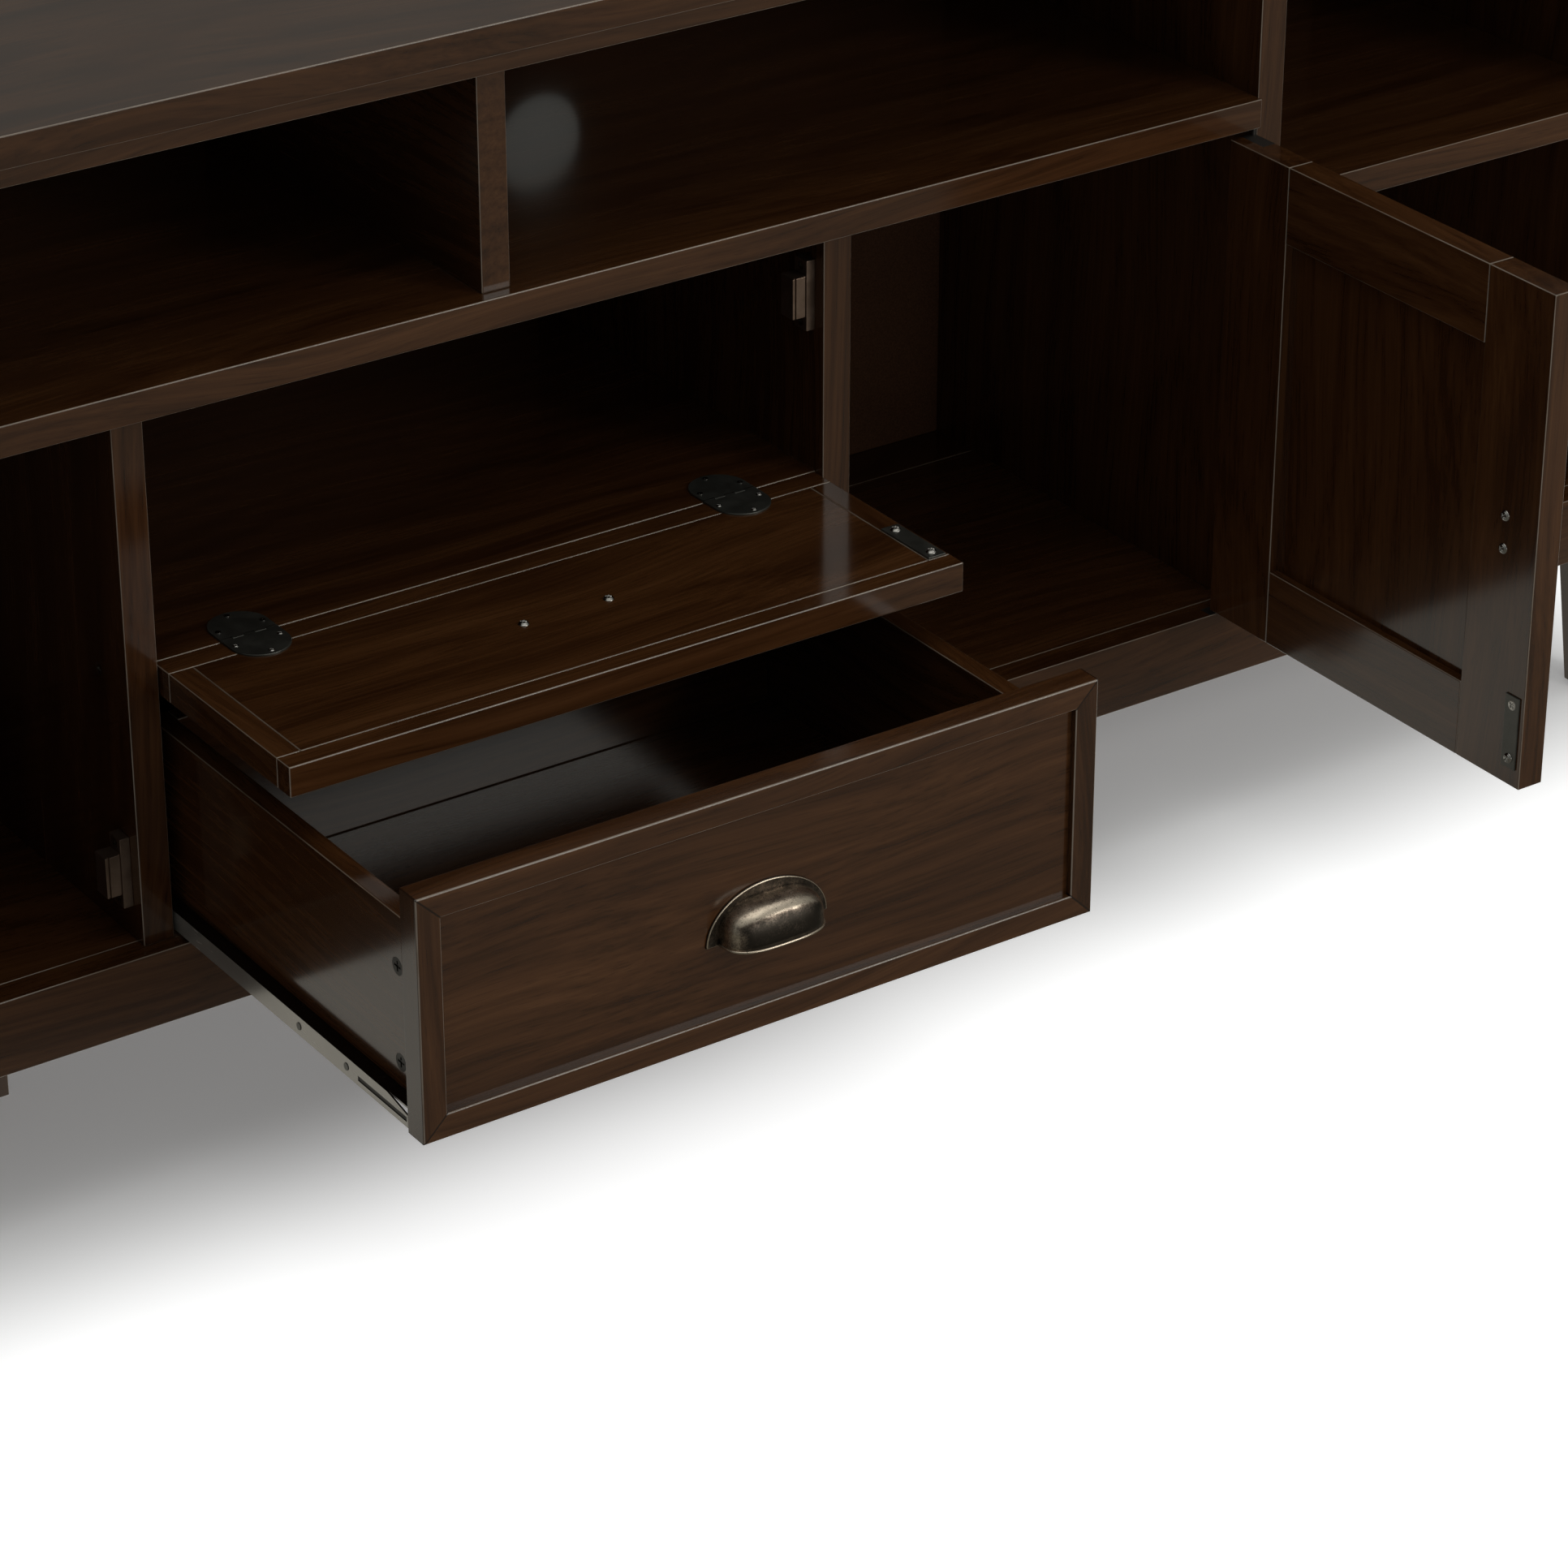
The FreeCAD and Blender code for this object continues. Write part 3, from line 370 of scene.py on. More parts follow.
def walnut(axis, mitred_box=None):
    material, tree, shader = principled(("mitred" if mitred_box else "stained") + " walnut along " + axis)
    position = coordinates(tree)
    place = split(tree, position)
    turned = node(tree, "CombineXYZ")
    for target, source in zip("XYZ", GRAIN_ORDER[axis]):
        feed(tree, turned.inputs[target], place[source])
    seed = node(tree, "Attribute", attribute_type="OBJECT", attribute_name="board_seed").outputs["Fac"]
    figure = use_group(tree, walnut_figure, Position=turned.outputs[0], Seed=seed)
    edges = use_group(tree, eased_edges, Position=position)
    marks = use_group(tree, handling, Position=position)

    colour = ramp(tree, figure["Tone"], STAIN)
    colour = mix_colour(tree, calc(tree, "MULTIPLY", figure["Pores"], PORE_SHARE), colour, PORE_DARK)
    # Eased edges lighten to pale grey: partly wear, partly a painted highlight.
    colour = mix_colour(tree, calc(tree, "MULTIPLY", edges["Mask"], WORN_EDGE_AND_HIGHLIGHT_SHARE), colour, WORN_EDGE_AND_HIGHLIGHT)
    if mitred_box:
        middle, high = (mitred_box[0] + mitred_box[1]) / 2, mitred_box[1]
        joint = use_group(tree, mitre_line, Position=position, Half_Width=high.x - middle.x,
                          Middle=middle.z, Half_Height=high.z - middle.z)
        colour = mix_colour(tree, joint["Mask"], colour, PORE_DARK)
    rough = calc(tree, "MULTIPLY_ADD", marks["Patches"], WOOD_ROUGH_SWING, WOOD_ROUGH)
    feed(tree, shader.inputs["Base Color"], colour)
    feed(tree, shader.inputs["Roughness"], rough)
    shader.inputs["Specular IOR Level"].default_value = 0.03
    shader.inputs["Coat Weight"].default_value = 1.0
    shader.inputs["Coat Roughness"].default_value = 0.13
    add_bump(tree, shader, figure["Height"], strength=0.10, distance=0.0003)
    return material


walnut_along = {axis: walnut(axis) for axis in "XYZ"}
print("wood:", [material.name for material in walnut_along.values()])

# %% [markdown]
# Which way the grain runs
#
# A joiner runs the grain along the length of a board. Shelves, aprons and rails lie along X, uprights, stiles,
# legs and door panels stand along Z, and drawer sides run from front to back along Y. At rest the flap is down
# and the doors stand open, so the flap's stiles and the doors' rails also lie along Y.

# %% Give every board its wood
ALONG_Y = ("drawer_left_side", "drawer_right_side", "end_aprons", "flap_stiles", "upper_divider",
           "left_door_rails", "right_door_rails")
ALONG_Z = ("left_side_panel", "right_side_panel", "left_upright", "right_upright", "left_divider",
           "right_divider", "legs", "drawer_stiles", "left_door_stiles", "right_door_stiles",
           "left_door_panel", "right_door_panel")
FIRST_SEED, SEED_STEP = 3.0, 1.7


def finish(name, material):
    mesh = nodes[name].data
    mesh.materials.clear()
    mesh.materials.append(material)


slot_of = {part["node"]: part["material_slot"] for part in frame["record"]["subparts"]}
boards = sorted(name for name, slot in slot_of.items() if slot == "walnut")
for count, name in enumerate(boards):
    axis = "Y" if name in ALONG_Y else "Z" if name in ALONG_Z else "X"
    nodes[name]["board_seed"] = FIRST_SEED + SEED_STEP * count
    finish(name, walnut_along[axis])
drawer_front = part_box("drawer_stiles")
finish("drawer_rails", walnut("X", drawer_front))
finish("drawer_stiles", walnut("Z", drawer_front))
print("boards:", len(boards))

# %% [markdown]
# The hardboard back
#
# A thin sheet closes the back. It is pressed fibre, printed dark, with a fine even speckle and no lacquer.

# %% Hardboard
FIBRE = [(0.25, (0.028, 0.0115, 0.0051)), (0.75, (0.083, 0.0365, 0.0175))]
SPECKLE_SHARE, CLOUD_SHARE = 0.7, 0.3


def hardboard():
    material, tree, shader = principled("dark hardboard")
    position = coordinates(tree)
    speckle = noise(tree, position, (700.0, 700.0, 700.0), detail=3.0)
    cloud = noise(tree, position, (9.0, 9.0, 9.0), detail=4.0)
    tone = calc(tree, "MULTIPLY_ADD", speckle, SPECKLE_SHARE, calc(tree, "MULTIPLY", cloud, CLOUD_SHARE))
    feed(tree, shader.inputs["Base Color"], ramp(tree, tone, FIBRE))
    shader.inputs["Roughness"].default_value = 0.6
    shader.inputs["Specular IOR Level"].default_value = 0.12
    add_bump(tree, shader, speckle, strength=0.25, distance=0.0002)
    return material


finish("back_panel", hardboard())
print("back finished")

# %% [markdown]
# Metals and plastics
#
# The flat fittings and the rivets are dull plated steel, the screws bright, the runners plain grey plating, the
# cams dark zinc and the hidden door pivots blackened. The catches are brown and the rollers pale nylon. All of
# them are the same recipe with other numbers: two colours mixed by soft patches, hairlines in the roughness,
# and a touch of bump. For the drawer runners the recipe gives faces that look up a near-black colour, which is
# painted shade: the level ledge of each runner lies in the dark gap beside the drawer's side.

# %% Fittings from one recipe
SHADED_LEDGE_FROM, SHADED_LEDGE_TO = 0.6, 0.9
HAIRLINE_ROUGH = 0.06


def fitting(name, dark, light, metallic, smooth, spread, patch_size, ledge_shade=None):
    material, tree, shader = principled(name)
    marks = use_group(tree, handling, Position=coordinates(tree), Patch_Size=patch_size)
    colour = mix_colour(tree, marks["Patches"], (*dark, 1.0), (*light, 1.0))
    if ledge_shade:
        # Painted shade: faces that look up get the near-black colour.
        upward = split(tree, coordinates(tree, "Normal"))["Z"]
        colour = mix_colour(tree, remap(tree, upward, SHADED_LEDGE_FROM, SHADED_LEDGE_TO), colour, (*ledge_shade, 1.0))
    feed(tree, shader.inputs["Base Color"], colour)
    shader.inputs["Metallic"].default_value = metallic
    lined = calc(tree, "MULTIPLY_ADD", marks["Hairlines"], HAIRLINE_ROUGH, smooth)
    feed(tree, shader.inputs["Roughness"], calc(tree, "MULTIPLY_ADD", marks["Patches"], spread, lined))
    add_bump(tree, shader, marks["Hairlines"], strength=0.1, distance=0.00008)
    return material


FITTINGS = {
    "gunmetal": fitting(
        "dull plated steel", dark=(0.055, 0.055, 0.050), light=(0.080, 0.080, 0.073),
        metallic=0.75, smooth=0.30, spread=0.10, patch_size=70.0),
    "screw_steel": fitting(
        "bright screw steel", dark=(0.24, 0.235, 0.225), light=(0.38, 0.37, 0.355),
        metallic=1.0, smooth=0.15, spread=0.08, patch_size=300.0),
    # The runners' upward ledge gets near-black painted shade.
    "runner_steel": fitting(
        "grey plated steel", dark=(0.29, 0.275, 0.255), light=(0.34, 0.325, 0.30),
        metallic=0.6, smooth=0.20, spread=0.05, patch_size=12.0, ledge_shade=(0.012, 0.008, 0.006)),
    "roller_plastic": fitting(
        "pale nylon", dark=(0.52, 0.51, 0.47), light=(0.62, 0.61, 0.57),
        metallic=0.0, smooth=0.46, spread=0.10, patch_size=90.0),
    "catch_plastic": fitting(
        "brown catch body", dark=(0.18, 0.125, 0.095), light=(0.23, 0.165, 0.13),
        metallic=0.9, smooth=0.30, spread=0.08, patch_size=80.0),
    "cam_zinc": fitting(
        "dark cast zinc", dark=(0.008, 0.007, 0.006), light=(0.030, 0.027, 0.024),
        metallic=0.6, smooth=0.34, spread=0.12, patch_size=160.0),
}
# Blackened steel for the hidden pivots, also used for the near-black painted shade in the runner slots.
blackened_and_slot_shade = fitting(
    "blackened pivots", dark=(0.012, 0.010, 0.009), light=(0.022, 0.019, 0.017),
    metallic=0.3, smooth=0.45, spread=0.10, patch_size=60.0)
for name, slot in slot_of.items():
    if slot in FITTINGS:
        finish(name, FITTINGS[slot])
for name in ("door_fixed_pivots", "left_door_pivots", "right_door_pivots"):
    finish(name, blackened_and_slot_shade)
finish("drawer_screws", FITTINGS["gunmetal"])
print("fittings:", sorted(FITTINGS))

# %% [markdown]
# Antique bronze
#
# The pulls are dark bronze with the high spots worn back to metal. Each pull's mesh carries a number per
# vertex that says how light that spot is, and the shader reads it through an Attribute node. On the knobs and
# rims that number is wear; on the cup pull it is partly wear and partly painted light and highlight. Noise
# breaks up the edge of the light area, so it looks rubbed and not airbrushed.

# %% Bronze
PATINA = [(0.0, (0.036, 0.031, 0.026)), (0.5, (0.175, 0.140, 0.114)), (1.0, (0.56, 0.48, 0.39))]
WORN_AND_LIT_FROM, WORN_AND_LIT_TO, BLOTCH_SWING, FINE_SWING = 0.10, 0.95, 0.8, 0.7
SPECK, SPECK_SHARE = (0.020, 0.015, 0.012, 1.0), 0.7
BRONZE_ROUGH, BRONZE_ROUGH_SWING = 0.40, -0.14


def bronze():
    material, tree, shader = principled("antique bronze")
    position = coordinates(tree)
    # Light bronze from the mesh's number: wear, and on the cup pull also painted light and highlight.
    worn_and_lit = node(tree, "Attribute", attribute_type="GEOMETRY", attribute_name="wear_and_highlight").outputs["Fac"]
    blotch = noise(tree, position, (170.0, 170.0, 170.0), detail=6.0, roughness=0.65)
    fine = noise(tree, position, (950.0, 950.0, 950.0), detail=3.0)
    worn_and_lit = sway(tree, worn_and_lit, blotch, 0.5, BLOTCH_SWING)
    worn_and_lit = sway(tree, worn_and_lit, fine, 0.5, FINE_SWING)
    worn_and_lit = remap(tree, worn_and_lit, WORN_AND_LIT_FROM, WORN_AND_LIT_TO)
    speck = calc(tree, "MULTIPLY", remap(tree, fine, 0.60, 0.70), SPECK_SHARE)
    colour = mix_colour(tree, speck, ramp(tree, worn_and_lit, PATINA), SPECK)
    rough = calc(tree, "MULTIPLY_ADD", worn_and_lit, BRONZE_ROUGH_SWING, BRONZE_ROUGH)
    feed(tree, shader.inputs["Base Color"], colour)
    feed(tree, shader.inputs["Roughness"], rough)
    shader.inputs["Metallic"].default_value = 1.0
    height = calc(tree, "MULTIPLY_ADD", fine, 0.4, blotch)
    add_bump(tree, shader, height, strength=0.2, distance=0.0002)
    return material


antique_bronze = bronze()
bronze_nodes = [name for name, slot in slot_of.items() if slot == "bronze"]
for name in bronze_nodes:
    finish(name, antique_bronze)
print("bronze on", bronze_nodes)

# %% [markdown]
# From points to pieces
#
# The remaining pieces are small castings and pressings. Each is made of rows of points joined into faces, like
# a net. One helper turns rows into a mesh, with a number for every point that sets how light the bronze is
# there, and closes the ends that are named. Another puts the piece on its body in place of the plain solid.

# %% Helpers for net-like pieces
def circle(sides):
    return [(math.cos(2 * math.pi * k / sides), math.sin(2 * math.pi * k / sides)) for k in range(sides)]


def add_net(mesh, rows, wear_and_highlight=None, closed=False, caps=()):
    grid = [[mesh.verts.new(point) for point in row] for row in rows]
    if wear_and_highlight:
        layer = mesh.verts.layers.float.get("wear_and_highlight")
        for verts, levels in zip(grid, wear_and_highlight):
            for vert, level in zip(verts, levels):
                vert[layer] = level
    for near, far in zip(grid, grid[1:]):
        count = len(near)
        for i in range(count if closed else count - 1):
            j = (i + 1) % count
            mesh.faces.new((near[i], near[j], far[j], far[i]))
    for end in caps:
        mesh.faces.new(grid[end])


def new_casting():
    mesh = bmesh.new()
    mesh.verts.layers.float.new("wear_and_highlight")
    return mesh


def make_piece(name, mesh, body, material, replaced=None):
    bmesh.ops.remove_doubles(mesh, verts=mesh.verts, dist=1e-6)
    bmesh.ops.recalc_face_normals(mesh, faces=mesh.faces)
    data = bpy.data.meshes.new(name)
    mesh.to_mesh(data)
    mesh.free()
    for face in data.polygons:
        face.use_smooth = True
    data.materials.append(material)
    piece = bpy.data.objects.new(name, data)
    bpy.context.scene.collection.objects.link(piece)
    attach(piece, body)
    if replaced:
        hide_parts(replaced)
    return piece


print("net helpers ready")

# %% [markdown]
# Plates and tubes
#
# A plate is an outline pulled in over several steps, which gives it a soft rim. A tube is a circle carried
# along a path. Rims are where hands rub, so they are worn more than the flats.

# %% Helpers for plates and tubes
RIM_ANGLES = (0.0, 0.4, 0.8, 1.2, math.pi / 2)
FLAT_INSETS = (1.3, 2.6)
RIM_WORN, FLAT_WORN = 0.9, 0.26


def add_plate(mesh, outline, thickness, rim, place):
    count = len(outline)
    centre = Vector((sum(p[0] for p in outline) / count, sum(p[1] for p in outline) / count))
    steps = [(0.0, 0.0)]
    steps += [(rim * (1 - math.cos(t)), thickness - rim + rim * math.sin(t)) for t in RIM_ANGLES]
    steps += [(inset * rim, thickness) for inset in FLAT_INSETS]
    rows, levels = [], []
    for inset, out in steps:
        row = []
        for point in outline:
            away = Vector(point) - centre
            point = centre + away * (1 - inset / away.length)
            row.append(place(point.x, point.y, out))
        rows.append(row)
        levels.append([RIM_WORN if 0.0 < inset < rim else FLAT_WORN] * count)
    add_net(mesh, rows, levels, closed=True, caps=(-1, 0))


def add_tube(mesh, path, radius, level, sides=10):
    rows = []
    for i, point in enumerate(path):
        along = (path[min(i + 1, len(path) - 1)] - path[max(i - 1, 0)]).normalized()
        side = along.cross(Vector((0, 0, 1))).normalized()
        up = side.cross(along)
        rows.append([point + radius * (cos * side + sin * up) for cos, sin in circle(sides)])
    add_net(mesh, rows, [[level] * sides for _ in rows], closed=True, caps=(0, -1))


print("plate and tube helpers ready")

# %% [markdown]
# The cup pull
#
# A cup pull is a quarter of a squarish dome on an arched flange, with a rolled lip for the fingers. A true
# ellipsoid looks too round, so the sines are raised to a power below one, which swells the shoulders. The dome
# is a surface that Solidify turns into a casting, the lip is a thin tube along its mouth, and the flange is a
# plate. Lightness is written down in degrees: the upper part is lighter, partly wear and partly painted light
# from above, the ends are worn, and a brighter line along the shoulder and at the corners is partly wear and
# partly a painted highlight.

# %% Cup pull
CUP_HALF, CUP_RISE, CUP_LIP, CUP_WALL = 0.0362, 0.0265, 0.0009, 0.0016
FLANGE, FLANGE_RIM = 0.0018, 0.0008
SIDE_SWELL, ARCH_SWELL, DOME_SWELL = 0.70, 0.58, 0.62
CUP_ACROSS, CUP_DOWN, CUP_END_GAP = 56, 24, 0.02


def bell(value, middle, width):
    return math.exp(-((value - middle) / width) ** 2)


def slope(value, start, length):
    return min(1.0, max(0.0, (value - start) / length))


# Partly wear, partly painted light on the upper part and a painted highlight on the shoulder and corners.
def cup_wear_and_highlight(lean, turn):
    top, side = math.degrees(lean), abs(math.degrees(turn) - 90)
    shoulder = bell(top, 46, 11) * (1 if side < 48 else bell(side, 48, 12))
    corner = bell(side, 50, 8) * slope(top, 30, 25)
    upper = slope(52 - top, 0, 12)
    ends = slope(side, 50, 8)
    return 0.12 + 0.56 * max(upper, ends) + 0.36 * max(shoulder, corner)


def swell(value, power):
    return math.copysign(abs(value) ** power, value)


def ellipse_arch(half_width, height, steps):
    return [(half_width * math.cos(math.pi * i / steps), height * math.sin(math.pi * i / steps))
            for i in range(steps + 1)]


def cup_pull():
    low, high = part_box("drawer_pull")
    middle = (low.x + high.x) / 2
    reach = high.y - low.y - CUP_LIP

    def place(x, up, out):
        return Vector((middle + x, high.y - out, low.z + up))

    def dome_point(lean, turn):
        width = math.sin(turn) ** ARCH_SWELL
        return place(CUP_HALF * swell(math.cos(turn), SIDE_SWELL),
                     CUP_LIP + CUP_RISE * width * math.cos(lean) ** DOME_SWELL,
                     reach * width * math.sin(lean) ** DOME_SWELL)

    leans = [math.pi / 2 * v / CUP_DOWN for v in range(CUP_DOWN + 1)]
    turns = [CUP_END_GAP + (math.pi - 2 * CUP_END_GAP) * u / CUP_ACROSS for u in range(CUP_ACROSS + 1)]
    rows = [[dome_point(lean, turn) for turn in turns] for lean in leans]
    shell = new_casting()
    add_net(shell, rows, [[cup_wear_and_highlight(lean, turn) for turn in turns] for lean in leans])
    dome = make_piece("drawer_cup", shell, "drawer", antique_bronze, "drawer_pull")
    wall = dome.modifiers.new("casting", "SOLIDIFY")
    wall.thickness = CUP_WALL
    wall.offset = -1.0

    rim = new_casting()
    arch = ellipse_arch((high.x - low.x) / 2, high.z - low.z, CUP_ACROSS)
    add_plate(rim, arch, FLANGE, FLANGE_RIM, place)
    add_tube(rim, rows[-1], CUP_LIP, level=1.0)
    plate = make_piece("drawer_cup_flange", rim, "drawer", antique_bronze)
    return dome, plate


print("cup pull:", [piece.name for piece in cup_pull()])

# %% [markdown]
# Door knobs
#
# A knob is a turned piece, so its shape is one profile spun about its axis: a short neck, a swelling shoulder
# and a low crown. The profile lists a radius, a height and how worn that ring is. The knob stands on an oval
# plate with a soft rim. At rest the doors stand open, so the knobs point outward along X, left and right.

# %% Turned knobs
KNOB_PROFILE = [(0.0046, 0.0020, 0.3), (0.0044, 0.0060, 0.2), (0.0048, 0.0085, 0.2), (0.0070, 0.0105, 0.4),
                (0.0096, 0.0125, 0.7), (0.0109, 0.0146, 1.0), (0.0107, 0.0164, 0.9), (0.0092, 0.0183, 0.6),
                (0.0062, 0.0198, 0.5), (0.0028, 0.0204, 0.5), (0.0004, 0.0205, 0.5)]
KNOB_SIDES, KNOB_PLATE, KNOB_PLATE_RIM = 40, 0.0025, 0.0012


def door_knob(body, direction):
    low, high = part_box(body + "_pull")
    centre = (low + high) / 2
    half_y, half_z = (high.y - low.y) / 2, (high.z - low.z) / 2
    base = low.x if direction > 0 else high.x
    ring = circle(KNOB_SIDES)

    def place(side, up, out):
        return Vector((base + direction * out, centre.y + side, centre.z + up))

    mesh = new_casting()
    oval = [(half_y * cos, half_z * sin) for cos, sin in ring]
    add_plate(mesh, oval, KNOB_PLATE, KNOB_PLATE_RIM, place)
    rows = [[place(radius * cos, radius * sin, out) for cos, sin in ring] for radius, out, _ in KNOB_PROFILE]
    levels = [[level] * KNOB_SIDES for _, _, level in KNOB_PROFILE]
    add_net(mesh, rows, levels, closed=True, caps=(0, -1))
    return make_piece(body + "_knob", mesh, body, antique_bronze, body + "_pull")


knobs = [door_knob("right_door", 1), door_knob("left_door", -1)]
print("knobs:", [(knob.name, [round(v, 4) for v in knob.dimensions]) for knob in knobs])

# %% [markdown]
# Domed screw heads
#
# The visible screws are pan heads: a thin washer rim, a dome, and a cross driven into the top. Each head is a
# round net whose height follows that profile, and points inside the cross are pushed down. A head is given by
# its radius, its height and the depth of its cross, and its profile by shares of these.

# %% One screw head
HEAD_RINGS, HEAD_SIDES, HEAD_CENTRE = 16, 48, 0.01
WASHER_FROM, WASHER_LIFT, WASHER_EDGE = 0.86, 0.30, 0.05
DOME_RADIUS, DOME_FOOT, DOME_LIFT = 0.88, 0.42, 0.58
CROSS_HALF, CROSS_REACH = 0.13, 0.58


def head_lift(part):
    if part > WASHER_FROM:
        return WASHER_LIFT * min(1.0, (1.0 - part) / WASHER_EDGE)
    return DOME_FOOT + DOME_LIFT * math.sqrt(max(0.0, 1 - (part / DOME_RADIUS) ** 2))


def add_head(mesh, centre, outward, radius, height, recess):
    across = outward.orthogonal().normalized()
    along = outward.cross(across)
    rows = []
    for r in range(HEAD_RINGS + 1):
        part = max(r / HEAD_RINGS, HEAD_CENTRE)
        row = []
        for cos, sin in circle(HEAD_SIDES):
            x, y = part * cos, part * sin
            rise = height * head_lift(part)
            if min(abs(x), abs(y)) < CROSS_HALF and max(abs(x), abs(y)) < CROSS_REACH:
                rise -= recess
            row.append(centre + radius * (x * across + y * along) + rise * outward)
        rows.append(row)
    add_net(mesh, rows, closed=True, caps=(0,))


print("head points:", (HEAD_RINGS + 1) * HEAD_SIDES)

# %% [markdown]
# Where the screws sit
#
# Screws hold the pulls, the strike plates and the oval hinges, so their places come from the boxes of those
# pieces. A pull's screws come through from behind and show on the inside of the flap or door. On a door's
# strike plate the upper screw meets the catch when the door is shut, so its head is sunk and stands only a
# quarter millimetre proud.

# %% Screw heads
X, Y, Z = Vector((1, 0, 0)), Vector((0, 1, 0)), Vector((0, 0, 1))
PAN_HEAD = (0.0037, 0.0021, 0.00095)
SUNK_HEAD = (0.0037, 0.00025, 0.0006)
OVAL_HEAD = (0.0020, 0.0007, 0.0003)
FLAP_PULL_SCREWS, KNOB_SCREWS, STRIKE_SCREWS = 0.064, 0.024, 0.040
KNUCKLE, LEAF, OVAL_HALF = 0.00125, 0.0012, 0.0205
OVAL_SCREWS = ((0.0, 0.0290), (0.0160, 0.0113), (-0.0160, 0.0113))


def pair_on(node_name, axis, spread, outward, surface=None):
    low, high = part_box(node_name)
    centre = (low + high) / 2
    low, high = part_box(surface or node_name)
    for i in range(3):
        if outward[i]:
            centre[i] = high[i] if outward[i] > 0 else low[i]
    return [centre + axis * (side * spread / 2) for side in (-1, 1)]


def screw_heads(name, body, replaced, groups):
    mesh = bmesh.new()
    for places, outward, head in groups:
        for place in places:
            add_head(mesh, place, outward, *head)
    return make_piece(name, mesh, body, FITTINGS["screw_steel"], replaced)


low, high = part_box("flap_hinge_leaves")
pin_y, leaf_top = high.y - KNUCKLE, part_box("flap_rails")[1].z + LEAF
oval_places = [Vector((middle + dx, pin_y - dy, leaf_top))
               for middle in (low.x + OVAL_HALF, high.x - OVAL_HALF) for dx, dy in OVAL_SCREWS]
heads = [screw_heads("flap_screw_heads", "flap", "flap_screws", [
    (pair_on("flap_pull", X, FLAP_PULL_SCREWS, Z, surface="flap_rails"), Z, PAN_HEAD),
    (pair_on("flap_strike_plate", Y, STRIKE_SCREWS, Z), Z, PAN_HEAD),
    (oval_places, Z, OVAL_HEAD)])]
for body, inward in (("right_door", -X), ("left_door", X)):
    knob_places = pair_on(body + "_pull", Z, KNOB_SCREWS, inward, surface=body + "_stiles")
    lower, upper = pair_on(body + "_strike_plate", Z, STRIKE_SCREWS, inward)
    heads.append(screw_heads(body + "_screw_heads", body, body + "_screws", [
        (knob_places + [lower], inward, PAN_HEAD), ([upper], inward, SUNK_HEAD)]))
print("heads:", [piece.name for piece in heads])

# %% [markdown]
# Painted shade in the runner slots
#
# Near its front each drawer runner has a long slot that opens into the hollow of the pressed channel. A small
# oblong plate in near-black steel, sunk inside the thickness of the runner, is painted shade: a dark sheet that
# makes the slot read as the shaded hollow behind it.

# %% Runner slots
SLOT_LENGTH, SLOT_HEIGHT = 0.058, 0.0036
SLOT_FROM_FRONT, SLOT_RISE, SLOT_DEPTH = 0.0012, 0.0055, 0.0009
SLOT_PLATE, SLOT_PLATE_RIM = 0.0004, 0.0001
ROUND_STEPS = 8


def runner_slot_shades():
    low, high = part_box("drawer_runners")
    middle = Vector((0.0, low.y + SLOT_FROM_FRONT + SLOT_LENGTH / 2, low.z + SLOT_RISE))
    straight, radius = SLOT_LENGTH / 2 - SLOT_HEIGHT / 2, SLOT_HEIGHT / 2
    outline = []
    for end, start in ((1, -90), (-1, 90)):
        for step in range(ROUND_STEPS + 1):
            angle = math.radians(start + 180 * step / ROUND_STEPS)
            outline.append((end * straight + radius * math.cos(angle), radius * math.sin(angle)))
    mesh = new_casting()
    for face, side in ((low.x, -1), (high.x, 1)):
        def place(along, up, out):
            return middle + Vector((face - side * (SLOT_DEPTH - out), along, up))
        add_plate(mesh, outline, SLOT_PLATE, SLOT_PLATE_RIM, place)
    # The near-black plates are painted shade for the hollow behind each slot.
    return make_piece("drawer_runner_slot_shades", mesh, "drawer", blackened_and_slot_shade)


print("slots:", runner_slot_shades().name)

# %% [markdown]
# The floor
#
# A plain pale sheet, far larger than the view. A studio floor is lit on its own until it reads as pure white.
# Here it glows a little instead, and a Light Path node lets only the eye and mirrors see that glow, so it adds
# no light to the cabinet. For the eye the glow fades out below the cabinet, measured as a distance from its
# footprint, and the shadow stays there.
# Mirrors see a warmer glow, only from the fronts backward, and a darker floor before them. Both are painted
# reflections: the glow puts a grey sheen on the drawer's side, and the darker floor keeps the lacquered fronts
# deep in colour. The pale sheet itself is a little blue, which balances the warm lamps.

# %% Floor
FLOOR_HALF = 14.0
FOOT_HALF_WIDTH, FOOT_MIDDLE_Y, FOOT_HALF_DEPTH = 0.97, 0.165, 0.19
GLOW_FROM, GLOW_TO = -0.05, 0.22
GLOW_UNDER, GLOW_OPEN = 0.14, 0.92
MIRROR_FROM_Y, MIRROR_TO_Y, GLOW_BEHIND = -0.30, 0.02, 0.52
GLOW_WHITE, GLOW_WARM = (1.0, 1.0, 1.0, 1.0), (1.0, 0.97, 0.86, 1.0)
FLOOR_PALE, FLOOR_MIRRORED = (0.85, 0.86, 0.915, 1.0), (0.29, 0.277, 0.245, 1.0)


def eye_and_mirrors(tree):
    seen = node(tree, "LightPath").outputs
    return seen["Is Camera Ray"], calc(tree, "MAXIMUM", seen["Is Glossy Ray"], seen["Is Transmission Ray"])


